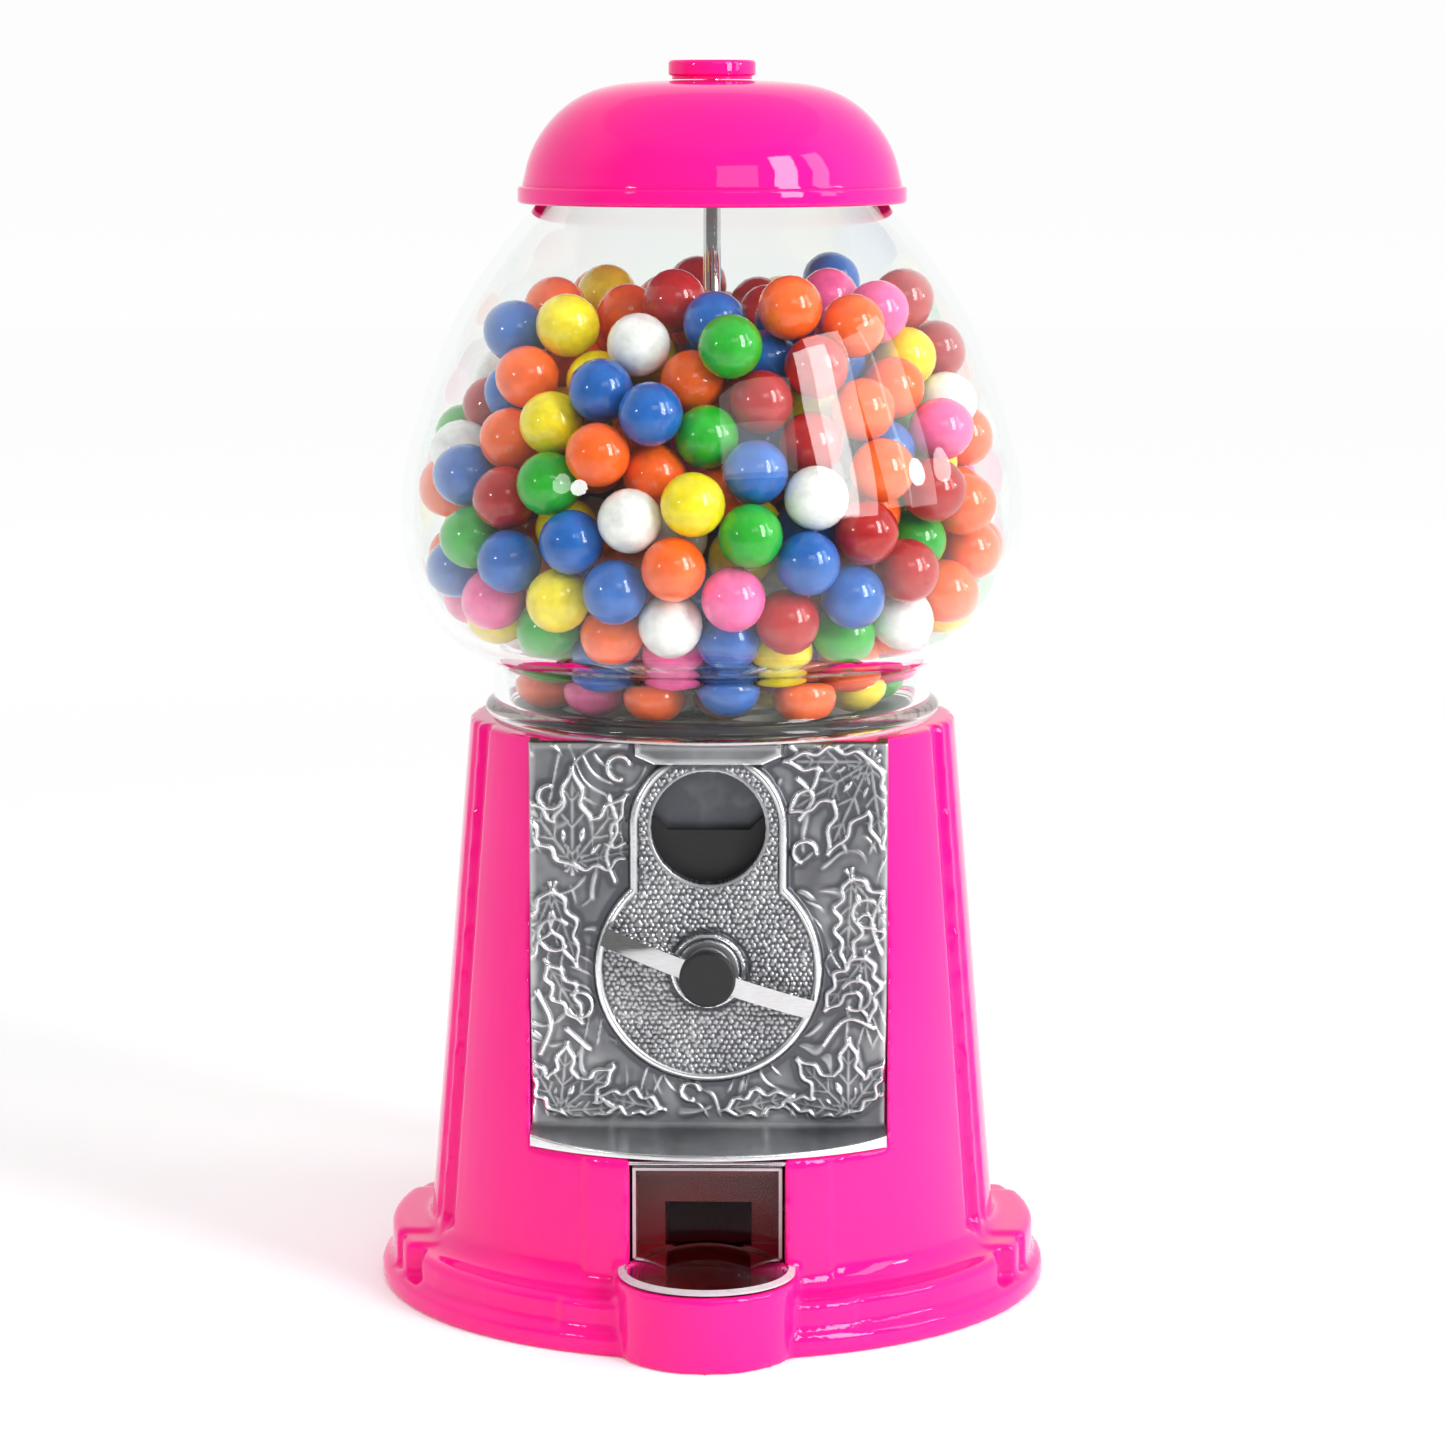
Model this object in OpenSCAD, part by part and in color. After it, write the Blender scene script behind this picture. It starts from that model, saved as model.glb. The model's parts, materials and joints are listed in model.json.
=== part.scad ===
// Coin-operated gumball machine: a cast stand, a glass globe full of gumballs, a screwed-down lid,
// and a turn handle that drives a coin wheel and, through two gears, the candy wheel in the hopper.
// Millimetres, +Z up, the cup points to -Y, and the stand rests on z = 0 about the globe's axis.

/* [Stand] */
// Height of the deck that carries the globe
stand_h = 131; // [130.5:0.1:131.5]
// Radius of the column at the deck
column_top_r = 55.5; // [55:0.1:56.5]
// Radius of the column where it meets the foot
column_foot_r = 65.2; // [64.5:0.1:66]
// Radius of the round flange on the table
flange_r = 77; // [76:0.1:79]
// Wall thickness of the casting
wall_t = 3.2; // [2.8:0.1:3.4]

/* [Face plate] */
// Width of the face plate
plate_w = 79; // [78:0.1:80]
// Distance of the plate's flat front from the axis
plate_front = 46; // [45.9:0.1:46.2]
// Height of the handle's axis
handle_z = 80.5; // [80.5:0.1:80.6]
// Diameter of the coin window
window_d = 25.2; // [24:0.1:26]

/* [Handle] */
// Length of the lever, tip to tip
lever_l = 49; // [44:0.5:50]
// Lean of the lever at rest
lever_lean = 19.6; // [0:0.1:45]

/* [Dispenser] */
// Module of the gear teeth
gear_m = 2; // [2:0.1:2]
// Teeth on the handle's pinion
pinion_n = 8; // [8:1:8]
// Teeth on the idler
idler_n = 12; // [12:1:12]
// Teeth on the candy wheel's crown
crown_n = 32; // [32:1:32]
// Gumball pockets in the candy wheel
pocket_n = 4; // [2:1:4]
// Diameter of a pocket
pocket_d = 16.5; // [15.5:0.1:17]

/* [Globe] */
// Wall thickness of the glass
glass_t = 2.6; // [2.2:0.1:3]
// Diameter of a gumball
ball_d = 14; // [13.6:0.1:14.4]
// Number of gumballs
ball_count = 395; // [60:1:410]

/* [Lid] */
// Radius of the lid's rim
lid_r = 44; // [43.8:0.1:45]
// Height of the rim's lower edge
lid_z = 247.4; // [247:0.1:248]
// Radius of the knob
knob_r = 9.85; // [8:0.05:12]
// Height of the top of the knob
total_h = 279.4; // [279:0.1:280]

/* [Hidden] */
$fn = 96;
eps = 0.01;
slack = 0.06;

// Stand
foot_top_z = 17;
shelf_z = 12;
flange_h = 5.2;
foot_r = 74.6;
lobe_x = 0.894;
step_x = 0.945;
step_y = 0.328;
side_y = 0.25;
foot_lobe_x = 65;
foot_step_x = 70.4;
foot_step_y = 28;
foot_side_y = 19.5;
shelf_rise = 1;
pad_rise = 0.7;
column_pad_half = 27;
foot_pad_half = 32;
deck_t = 8;
deck_z = stand_h - deck_t;
ledge_z = 41.2;
ledge_t = 3.2;

base_boss_ring_r = 65.5;
pad_t = 1;
base_plate_top = 2.2;
plug_y = 26;
plug_r = 16.9;

// Cup and chute
cup_y = -67;
cup_r = 20;
cup_well_r = 17.6;
cup_h = foot_top_z;
cup_floor = 4;
mouth_half_w = 17;
pin_y = -59.5;
pin_z = 39.7;
pin_r = 0.7;

// Face plate and mechanism, as distances along Y
plate_t = 3;
plate_back = -plate_front + plate_t;
boss_front = -plate_front - 1.5;
boss_r = 24.8;
boss_neck_r = 17;
window_z = 112.2;
collar_r = 8.6;
collar_front = boss_front - 1.7;
lip_r = 63.6;
lip_t = 1.2;
lip_rise = 3.2;
coin_wheel_r = 36;
coin_wheel_t = 3;
coin_wheel_front = plate_back + 0.4;
track_t = 2;
track_front = coin_wheel_front + coin_wheel_t + 0.2;
track_back = track_front + track_t;
coin_room_half = 11;
coin_room_top = deck_z + 5;
plate_screw_x = 31;
plate_screw_low = 51;
plate_screw_high = 116;
plate_stud_r = 2.6;
tab_x = 27.5;
shaft_r = 3;
bush_r = 5;
gear_front = -34.5;
gear_w = 5;
pawl_x = -14;
pawl_z = 42.2;

// Dispenser
pinion_r = gear_m * pinion_n / 2;
idler_r = gear_m * idler_n / 2;
crown_r = gear_m * crown_n / 2;
addendum = 0.8 * gear_m;
dedendum = 1.25 * gear_m;
idler_z = handle_z + pinion_r + idler_r;
crown_pitch_z = idler_z + idler_r;
wheel_bottom = crown_pitch_z + dedendum + 0.3;
wheel_top = stand_h - 1;
wheel_r = 35;
hub_r = 5;
pocket_ring_r = 19;
hopper_wall_r = wheel_r + 0.6;
hopper_r = hopper_wall_r + 1.5;
deck_hole_r = hopper_r + 0.5;
hopper_floor_top = crown_pitch_z - addendum - 0.7;
hopper_floor_t = 3.2;
hopper_bottom = hopper_floor_top - hopper_floor_t;
hopper_disc_top = wheel_bottom - 0.3;
hopper_flange_r = 46.4;
hopper_top = stand_h + 1.6;
drop_hole_r = 8.6;
hopper_screw_r = 42.5;
baffle_t = 1.2;
baffle_half_w = 11;
duct_screw_x = 14.2;
rod_r = 2;

// Screws
screw_r = 1.5;
screw_clear_r = 1.75;
head_r = 2.9;

// Globe: half outlines of the glass, from the neck up
gasket_t = 0.5;
glass_foot = stand_h + gasket_t;
neck_in_r = 47.2;
foot_keys = [
    [50.4, glass_foot], [51.6, glass_foot + 0.7], [52, glass_foot + 1.8],
    [51.4, glass_foot + 3], [50, glass_foot + 4], [49.8, glass_foot + 6]
];
bowl_keys = [
    [49.8, 142], [51, 144], [54.9, 146.1], [59.5, 149], [63.4, 153], [66.4, 157.8],
    [69, 164], [70.5, 171.5], [70.7, 179.5], [69.8, 188.5], [67.2, 198.8], [63.4, 209.5],
    [59, 220.2], [54, 229], [48.6, 236.6], [43.4, 243], [40, 247], [38.6, 249.6]
];
mouth_z = 252;
bowl_steps = 4;

// Lid: half outline of the dome, from the rim up
lid_keys = [
    [42.9, lid_z + 4.4], [42.4, 253.8], [41.8, 256.4], [40.8, 259.2], [39, 262.6],
    [36.4, 266], [33, 269.2], [28.6, 271.9], [23, 273.7], [16, 274.6], [9, 274.9]
];
lid_t = 2;
lid_top_z = 275;
knob_groove = 0.8;

// Flap: a domed half-round cover that hangs from the pin
flap_t = 1.2;
flap_half_w = 16.4;
dome_r = 19.3;
dome_rim_z = cup_h + 0.35;
dome_h = 6;
dome_sphere_r = (dome_r * dome_r + dome_h * dome_h) / (2 * dome_h);
dome_center_z = dome_rim_z + dome_h - dome_sphere_r;
flap_front = pin_y - flap_t / 2;

// Gumballs
ball_r = ball_d / 2;
ball_gap = 0.03;
rod_keepout = 10.3;
wall_keepout = 0.3;
heap_seed = 7;
colour_seed = 23;
first_tries = 30;
settle_rounds = 5;
settle_tries = 12;
never = 1e6;

// Curves

// Point at t between b and c on a smooth curve through a, b, c and d
function between(a, b, c, d, t) = 0.5 * (
    2 * b + (c - a) * t + (2 * a - 5 * b + 4 * c - d) * t * t
    + (3 * b - a - 3 * c + d) * t * t * t
);

// Smooth curve through every key point
function smooth(keys, steps) = let (last = len(keys) - 1) [
    for (i = [0:last - 1], s = [0:steps - 1])
        between(keys[max(i - 1, 0)], keys[i], keys[i + 1], keys[min(i + 2, last)], s / steps),
    keys[last]
];

// The same curve moved sideways: to its left by distance, as it runs
function moved(path, distance) = [
    for (i = [0:len(path) - 1])
        let (
            a = path[max(i - 1, 0)],
            b = path[min(i + 1, len(path) - 1)],
            along = (b - a) / norm(b - a)
        ) path[i] + distance * [-along.y, along.x]
];

function backwards(path) = [for (i = [len(path) - 1:-1:0]) path[i]];

function column_r(z) = column_foot_r
    + (column_top_r - column_foot_r) * (z - foot_top_z) / (stand_h - foot_top_z);

// Points of an arc, in degrees
function arc(center, r, from, to, steps) = [
    for (i = [0:steps])
        let (a = from + (to - from) * i / steps) center + r * [cos(a), sin(a)]
];

// Small shapes

// A cylinder along Y, from y = front to y = back
module along_y(r, front, back, x = 0, z = 0) {
    translate([x, back, z]) rotate([90, 0, 0]) cylinder(r = r, h = back - front);
}

// An XZ outline extruded along Y, from y = front to y = back
module plate_shape(front, back) {
    translate([0, back, 0]) rotate([90, 0, 0]) linear_extrude(back - front) children();
}

// A YZ outline extruded along X, centred on x = 0
module side_shape(width) {
    rotate([90, 0, 90]) translate([0, 0, -width / 2]) linear_extrude(width) children();
}

module ring(r_out, r_in, h) {
    difference() {
        cylinder(r = r_out, h = h);
        translate([0, 0, -1]) cylinder(r = r_in, h = h + 2);
    }
}

module box(from, to) {
    translate(from) cube(to - from);
}

// Stand

// A slab with sloping sides, symmetrical about x = 0
module tapered_slab(half_low, half_high, z0, z1, depth) {
    rotate([90, 0, 0]) linear_extrude(depth, center = true)
        polygon([[-half_low, z0], [half_low, z0], [half_high, z1], [-half_high, z1]]);
}

// Broad lobes front and back, narrow ones at the sides, and a stepped notch between them. Each end
// is a list of half widths: of the broad lobe, of the step along X and along Y, of the side lobe.
module lobes(z0, z1, low, high) {
    span = 2 * foot_r + 2;
    tapered_slab(low[0], high[0], z0, z1, span);
    intersection() {
        tapered_slab(low[1], high[1], z0, z1, span);
        rotate([0, 0, 90]) tapered_slab(low[2], high[2], z0, z1, span);
    }
    rotate([0, 0, 90]) tapered_slab(low[3], high[3], z0, z1, span);
}

// Half widths of the column's lobes at height z, moved inwards by inset
function column_lobes(z, inset) =
    [for (share = [lobe_x, step_x, step_y, side_y]) share * column_r(z) - inset];

module column(z0, z1, inset) {
    intersection() {
        translate([0, 0, z0])
            cylinder(r1 = column_r(z0) - inset, r2 = column_r(z1) - inset, h = z1 - z0);
        lobes(z0, z1, column_lobes(z0, inset), column_lobes(z1, inset));
    }
}

// The foot's lobes follow the column's, further out
module foot_steps(z0, z1, inset) {
    lobe = foot_lobe_x - inset;
    step = [foot_step_x - inset, foot_step_y - inset];
    side = foot_side_y - inset;
    span = foot_r + 1;
    box([-lobe, -span, z0], [lobe, span, z1]);
    box([-step.x, -step.y, z0], [step.x, step.y, z1]);
    box([-span, -side, z0], [span, side, z1]);
}

// A lobe of the foot, up to its shelf, within the given half widths along X and Y
module foot_lobe(shelf, half_x, half_y) {
    edge_r = 1.4;
    intersection() {
        rotate_extrude() polygon(concat(
            [[0, flange_h - 1], [foot_r, flange_h - 1]],
            arc([foot_r - edge_r, shelf - edge_r], edge_r, 0, 90, 4),
            [[0, shelf]]
        ));
        box([-half_x, -half_y, flange_h - 2], [half_x, half_y, shelf + 1]);
    }
}

// The cove from the foot's shelf up to the column
module cove() {
    run = foot_top_z - shelf_z;
    foot_lobes = [foot_lobe_x, foot_step_x, foot_step_y, foot_side_y];
    grown = column_lobes(foot_top_z, -run);
    intersection() {
        rotate_extrude() polygon(concat(
            [[0, shelf_z], [column_foot_r + run, shelf_z]],
            arc([column_foot_r + run, foot_top_z], run, 270, 180, 6),
            [[0, foot_top_z]]
        ));
        lobes(shelf_z, foot_top_z, [for (i = [0:3]) min(grown[i], foot_lobes[i])],
            column_lobes(foot_top_z, 0));
    }
}

module foot() {
    edge_r = 1.4;
    wide = foot_r + 1;
    rotate_extrude() polygon(concat(
        [[0, 0], [flange_r - 0.4, 0], [flange_r, 0.4]],
        arc([flange_r - edge_r, flange_h - edge_r], edge_r, 0, 90, 4),
        [[0, flange_h]]
    ));
    foot_lobe(shelf_z, foot_lobe_x, wide);
    foot_lobe(shelf_z + shelf_rise, foot_step_x, foot_step_y);
    foot_lobe(shelf_z + 2 * shelf_rise, wide, foot_side_y);
    cove();
}

// Slightly raised front of the column and of the foot, on both sides of the chute
module front_pads() {
    low_z = foot_top_z - 3.5;
    intersection() {
        translate([0, 0, low_z]) cylinder(
            r1 = column_r(low_z) + pad_rise, r2 = column_r(ledge_z) + pad_rise, h = ledge_z - low_z);
        box([-column_pad_half, -foot_r, low_z - 1], [column_pad_half, -40, ledge_z + 1]);
    }
    intersection() {
        translate([0, 0, flange_h - 1])
            cylinder(r = foot_r + pad_rise, h = shelf_z - flange_h + 1 - pad_rise);
        box([-foot_pad_half, -foot_r - 2, flange_h - 2], [foot_pad_half, -50, shelf_z + 1]);
    }
}

module body_casting() color("deeppink") {
    cavity_top = shelf_z - wall_t;
    difference() {
        union() {
            foot();
            column(foot_top_z, stand_h, 0);
            front_pads();
            translate([0, cup_y, 0]) cylinder(r = cup_r, h = cup_h);
        }
        // hollow inside, open at the bottom
        difference() {
            union() {
                column(cavity_top - 1, deck_z, wall_t);
                intersection() {
                    translate([0, 0, -1]) cylinder(r = foot_r - wall_t, h = cavity_top + 1);
                    foot_steps(-1, cavity_top, wall_t);
                }
            }
            translate([0, cup_y, 0]) cylinder(r = cup_r, h = cup_h);
            base_screw_places() translate([0, 0, base_plate_top]) cylinder(r = 3.6, h = cavity_top);
            // ledge under the face plate's lip
            box([-plate_w / 2 - 2, -70, ledge_z - ledge_t], [plate_w / 2 + 2, plate_back, ledge_z]);
            plate_tabs();
        }
        // flat seat for the face plate, down to the ledge
        box([-plate_w / 2 - slack, -flange_r, ledge_z], [plate_w / 2 + slack, plate_back, stand_h + 1]);
        // opening in the deck for the hopper, and its screws
        translate([0, 0, deck_z - 1]) cylinder(r = deck_hole_r, h = deck_t + 2);
        for (a = [45:90:315]) rotate([0, 0, a]) translate([hopper_screw_r, 0, stand_h - 6])
            cylinder(r = screw_r + slack, h = 7);
        // room for the coin above the wheel's notch, and for the track plate behind it
        box([-coin_room_half, plate_back - 1, deck_z - 1],
            [coin_room_half, track_back + 0.2, coin_room_top]);
        // cup, and the mouth of the chute behind it
        translate([0, cup_y, cup_floor]) cylinder(r = cup_well_r, h = cup_h);
        box([-mouth_half_w, cup_y, cup_floor], [mouth_half_w, -46, ledge_z + 1]);
        along_x(pin_r + 0.02, mouth_half_w + 2.2, pin_y, pin_z);
        base_screw_places() translate([0, 0, -1]) cylinder(r = screw_r + slack, h = 9);
        for (x = [-1, 1], z = [plate_screw_low, plate_screw_high])
            along_y(plate_stud_r + 0.3, plate_back - 1, track_front + 1, x * plate_screw_x, z);
    }
}

// Tabs inside the casting that the mechanism is screwed through
module plate_tabs() {
    for (side = [0, 1]) mirror([side, 0, 0]) {
        box([tab_x, plate_back - 2, 45], [44, track_front, 55]);
        box([tab_x, plate_back - 2, 111.5], [44, track_front, 121]);
    }
}

// A cylinder along X, centred on x = 0
module along_x(r, half_l, y, z) {
    translate([-half_l, y, z]) rotate([0, 90, 0]) cylinder(r = r, h = 2 * half_l);
}

// A layer of the base that fills the hollow foot, round the cup and the coin plug's hole
module base_layer(z0, z1, plug_hole_r, screw_hole_r) {
    inset = wall_t + 0.4;
    difference() {
        intersection() {
            translate([0, 0, z0]) cylinder(r = foot_r - inset, h = z1 - z0);
            foot_steps(z0, z1, inset);
        }
        translate([0, cup_y, z0 - 1]) cylinder(r = cup_r + 0.4, h = 6);
        translate([0, plug_y, z0 - 1]) cylinder(r = plug_hole_r, h = 6);
        base_screw_places() translate([0, 0, z0 - 1]) cylinder(r = screw_hole_r, h = 6);
    }
}

module base_screw_places() {
    for (a = [45:90:315]) rotate([0, 0, a]) translate([base_boss_ring_r, 0, 0]) children();
}

module base_plate() color("silver") base_layer(pad_t, base_plate_top, plug_r + 0.1, screw_clear_r);

module base_pad() color("dimgray") base_layer(0, pad_t, plug_r + 2.2, head_r + 0.5);

module base_screws() color("silver") base_screw_places() {
    translate([0, 0, 0.1]) cylinder(r = head_r, h = pad_t - 0.1);
    translate([0, 0, 0.5]) cylinder(r = screw_r, h = 6.5);
}

module coin_plug() color("dimgray") translate([0, plug_y, 0]) {
    difference() {
        union() {
            translate([0, 0, 0.1]) cylinder(r = plug_r + 1.8, h = pad_t - 0.1);
            translate([0, 0, 0.5]) cylinder(r = plug_r, h = 5);
        }
        translate([0, 0, 2.4]) cylinder(r = plug_r - 2.4, h = 5);
    }
}

// Face plate

module boss_outline() {
    translate([0, handle_z]) circle(r = boss_r);
    translate([0, window_z]) circle(r = boss_neck_r);
    translate([-boss_neck_r, handle_z + 14]) square([2 * boss_neck_r, window_z - handle_z - 14]);
}

// Side view of the lip that sweeps forward under the plate
module lip_outline() {
    edge_z = ledge_z + lip_t;
    polygon(concat(
        [[plate_back, ledge_z], [plate_back, edge_z + lip_rise], [-plate_front, edge_z + lip_rise]],
        [for (a = [0:11.25:90])
            [-plate_front - (lip_r - plate_front + 1) * (1 - cos(a)), edge_z + lip_rise * (1 - sin(a))]],
        [[-lip_r - 1, ledge_z]]
    ));
}

module face_plate() color("lightgray") {
    half = plate_w / 2;
    difference() {
        union() {
            box([-half, -plate_front, ledge_z], [half, plate_back, stand_h]);
            plate_shape(boss_front, -plate_front + eps) boss_outline();
            plate_shape(boss_front - 1, -plate_front + eps)
                polygon([[-16.5, stand_h], [16.5, stand_h], [16.5, stand_h - 3], [12, stand_h - 5],
                    [-12, stand_h - 5], [-16.5, stand_h - 3]]);
            along_y(collar_r, collar_front, boss_front + 1, 0, handle_z);
            // lip
            intersection() {
                side_shape(plate_w) lip_outline();
                translate([0, 0, ledge_z - 1]) cylinder(r = lip_r, h = 20);
            }
            // wings that close the gap back to the round column
            difference() {
                for (x = [-half, half - 2]) box([x, -plate_front, ledge_z], [x + 2, -36, stand_h]);
                translate([0, 0, ledge_z - 1]) cylinder(
                    r1 = column_r(ledge_z - 1) + slack, r2 = column_r(stand_h + 1) + slack,
                    h = stand_h - ledge_z + 2);
            }
            for (x = [-1, 1], z = [plate_screw_low, plate_screw_high])
                along_y(plate_stud_r, plate_back - 1, track_front, x * plate_screw_x, z);
        }
        along_y(window_d / 2, -60, -30, 0, window_z);
        along_y(bush_r + 0.02, -60, -30, 0, handle_z);
        for (x = [-1, 1], z = [plate_screw_low, plate_screw_high])
            along_y(screw_r + slack, track_front - 5.5, track_front + 1, x * plate_screw_x, z);
    }
}

module plate_screws() color("silver") {
    for (x = [-1, 1], z = [plate_screw_low, plate_screw_high]) {
        along_y(screw_r, track_front - 5, track_back + 0.5, x * plate_screw_x, z);
        along_y(head_r, track_back, track_back + 1.6, x * plate_screw_x, z);
    }
}

module coin_track_plate() color("gray") {
    difference() {
        plate_shape(track_front, track_back) {
            translate([-35, 46]) square([70, 75]);
            translate([-20, 39.5]) square([40, 10]);
            // tongue that backs the top of the window
            translate([0.5 - coin_room_half, 46]) square([2 * coin_room_half - 1, coin_room_top - 46.5]);
        }
        along_y(shaft_r + slack, -60, -30, 0, handle_z);
        along_y(2.5 + 0.02, -60, -30, 0, idler_z);
        along_y(1.2 + 0.02, -60, -30, pawl_x, pawl_z);
        for (x = [-1, 1], z = [plate_screw_low, plate_screw_high])
            along_y(screw_clear_r, -60, -30, x * plate_screw_x, z);
    }
}

// Handle and what turns with it

module coin_wheel() color("black") {
    notch_floor = 30.5;
    notch_half = 9;
    notch_rise = 3.5;
    difference() {
        along_y(coin_wheel_r, coin_wheel_front, coin_wheel_front + coin_wheel_t, 0, handle_z);
        translate([0, 0, handle_z]) plate_shape(-60, -30) polygon([
            [-notch_half, notch_floor], [notch_half, notch_floor],
            [notch_half + notch_rise, notch_floor + notch_rise], [notch_half + notch_rise, 50],
            [-notch_half - notch_rise, 50], [-notch_half - notch_rise, notch_floor + notch_rise]
        ]);
        along_y(shaft_r + 0.02, -60, -30, 0, handle_z);
    }
}

module handle_shaft() color("silver") {
    difference() {
        along_y(shaft_r, -55, -27.5, 0, handle_z);
        translate([0, -28.6, handle_z]) rotate([90, 0, 0]) ring(shaft_r + 1, 2.4, 0.9);
    }
}

module shaft_bush() color("darkgoldenrod") {
    difference() {
        along_y(bush_r, collar_front, plate_back, 0, handle_z);
        along_y(shaft_r + slack, -60, -30, 0, handle_z);
    }
}

module handle_lever() color("gainsboro") {
    bow_r = 60;
    strap_t = 2.2;
    strap_w = 4.2;
    strap_front = -56.5;
    hub_r_out = 5.6;
    difference() {
        union() {
            along_y(hub_r_out, strap_front, collar_front - 0.4, 0, handle_z);
            intersection() {
                translate([0, strap_front + bow_r, handle_z]) rotate([0, lever_lean, 0])
                    translate([0, 0, -strap_w / 2]) ring(bow_r, bow_r - strap_t, strap_w);
                along_y(lever_l / 2, -60, -40, 0, handle_z);
            }
        }
        along_y(shaft_r + 0.02, -55.02, -30, 0, handle_z);
    }
}

module handle_cap() color("dimgray") {
    translate([0, -56.5, handle_z]) rotate([90, 0, 0]) {
        cylinder(r = 6.2, h = 1.2);
        translate([0, 0, 1.2]) cylinder(r1 = 6.2, r2 = 5.6, h = 0.8);
    }
}

// Outline of one gear tooth that points along +X
module tooth_outline(r, teeth) {
    pitch = 360 / teeth;
    function at(radius, share) = radius * [cos(share * pitch), sin(share * pitch)];
    root = r - dedendum;
    tip = r + addendum;
    polygon([
        at(root - 0.5, -0.3), at(root, -0.28), at(r - 0.5 * dedendum, -0.235), at(r, -0.2),
        at(tip, -0.1), at(tip, 0.1),
        at(r, 0.2), at(r - 0.5 * dedendum, 0.235), at(root, 0.28), at(root - 0.5, 0.3)
    ]);
}

// A spur gear whose first tooth stands at start degrees above +X
module spur_gear(r, teeth, start) {
    circle(r = r - dedendum);
    for (i = [0:teeth - 1]) rotate(start + i * 360 / teeth) tooth_outline(r, teeth);
}

module drive_pinion() color("goldenrod") {
    difference() {
        union() {
            translate([0, 0, handle_z]) plate_shape(gear_front, gear_front + gear_w)
                spur_gear(pinion_r, pinion_n, 90);
            along_y(4.6, track_back + 0.4, gear_front + 0.5, 0, handle_z);
        }
        along_y(shaft_r + 0.02, -60, -20, 0, handle_z);
    }
}

module shaft_clip() color("silver") {
    translate([0, -28.6, handle_z]) rotate([90, 0, 0]) ring(5, 2.42, 0.8);
}

// Idler

module idler_post() color("silver") {
    difference() {
        along_y(2.5, track_front + 0.1, -27.5, 0, idler_z);
        translate([0, -28.6, idler_z]) rotate([90, 0, 0]) ring(3.5, 2, 0.9);
    }
}

module idler_gear() color("goldenrod") {
    difference() {
        union() {
            translate([0, 0, idler_z]) plate_shape(gear_front, gear_front + gear_w)
                spur_gear(idler_r, idler_n, 15);
            along_y(4.6, track_back + 0.4, gear_front + 0.5, 0, idler_z);
        }
        along_y(2.5 + slack, -60, -20, 0, idler_z);
    }
}

module idler_clip() color("silver") {
    translate([0, -28.6, idler_z]) rotate([90, 0, 0]) ring(4.4, 2.02, 0.8);
}

// Pawl that can lock the coin wheel

module coin_pawl() color("silver") {
    pawl_front = coin_wheel_front + 0.3;
    difference() {
        union() {
            along_y(2.4, pawl_front, pawl_front + 1.5, pawl_x, pawl_z);
            translate([pawl_x, 0, pawl_z]) plate_shape(pawl_front, pawl_front + 1.5)
                polygon([[-1.8, -1.6], [1.6, 1.8], [-9.3, 10.2], [-11.2, 9.2], [-10, 6.6]]);
        }
        along_y(1.2 + slack, -60, -30, pawl_x, pawl_z);
    }
}

module pawl_pivot() color("silver") {
    along_y(1.2, coin_wheel_front + 0.1, track_back, pawl_x, pawl_z);
}

module pawl_spring() color("silver") {
    spring_front = coin_wheel_front + 2.1;
    difference() {
        union() {
            along_y(2.3, spring_front, spring_front + 0.9, pawl_x, pawl_z);
            translate([pawl_x, 0, pawl_z]) plate_shape(spring_front, spring_front + 0.5)
                polygon([[0, -2.3], [9, -2.3], [9, -1.7], [0, -1.7]]);
        }
        along_y(1.5, -60, -30, pawl_x, pawl_z);
    }
}

// Dispenser

module crown_tooth() {
    low = crown_pitch_z - addendum;
    inner = crown_r - gear_w / 2;
    outer = crown_r + gear_w / 2;
    pitch = PI * gear_m;
    translate([0, outer, 0]) rotate([90, 0, 0]) linear_extrude(outer - inner) polygon([
        [-0.29 * pitch, wheel_bottom + 0.5], [-0.26 * pitch, wheel_bottom],
        [-0.19 * pitch, crown_pitch_z], [-0.1 * pitch, low], [0.1 * pitch, low],
        [0.19 * pitch, crown_pitch_z], [0.26 * pitch, wheel_bottom], [0.29 * pitch, wheel_bottom + 0.5]
    ]);
}

module candy_wheel() color("ghostwhite") {
    difference() {
        union() {
            translate([0, 0, wheel_bottom]) cylinder(r = wheel_r, h = wheel_top - wheel_bottom);
            for (i = [0:crown_n - 1]) rotate([0, 0, i * 360 / crown_n]) crown_tooth();
        }
        translate([0, 0, wheel_bottom - 1]) cylinder(r = hub_r + 0.08, h = 20);
        for (i = [0:pocket_n - 1]) rotate([0, 0, 45 + i * 360 / pocket_n])
            translate([pocket_ring_r, 0, wheel_bottom - 1]) cylinder(d = pocket_d, h = 20);
    }
}

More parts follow.
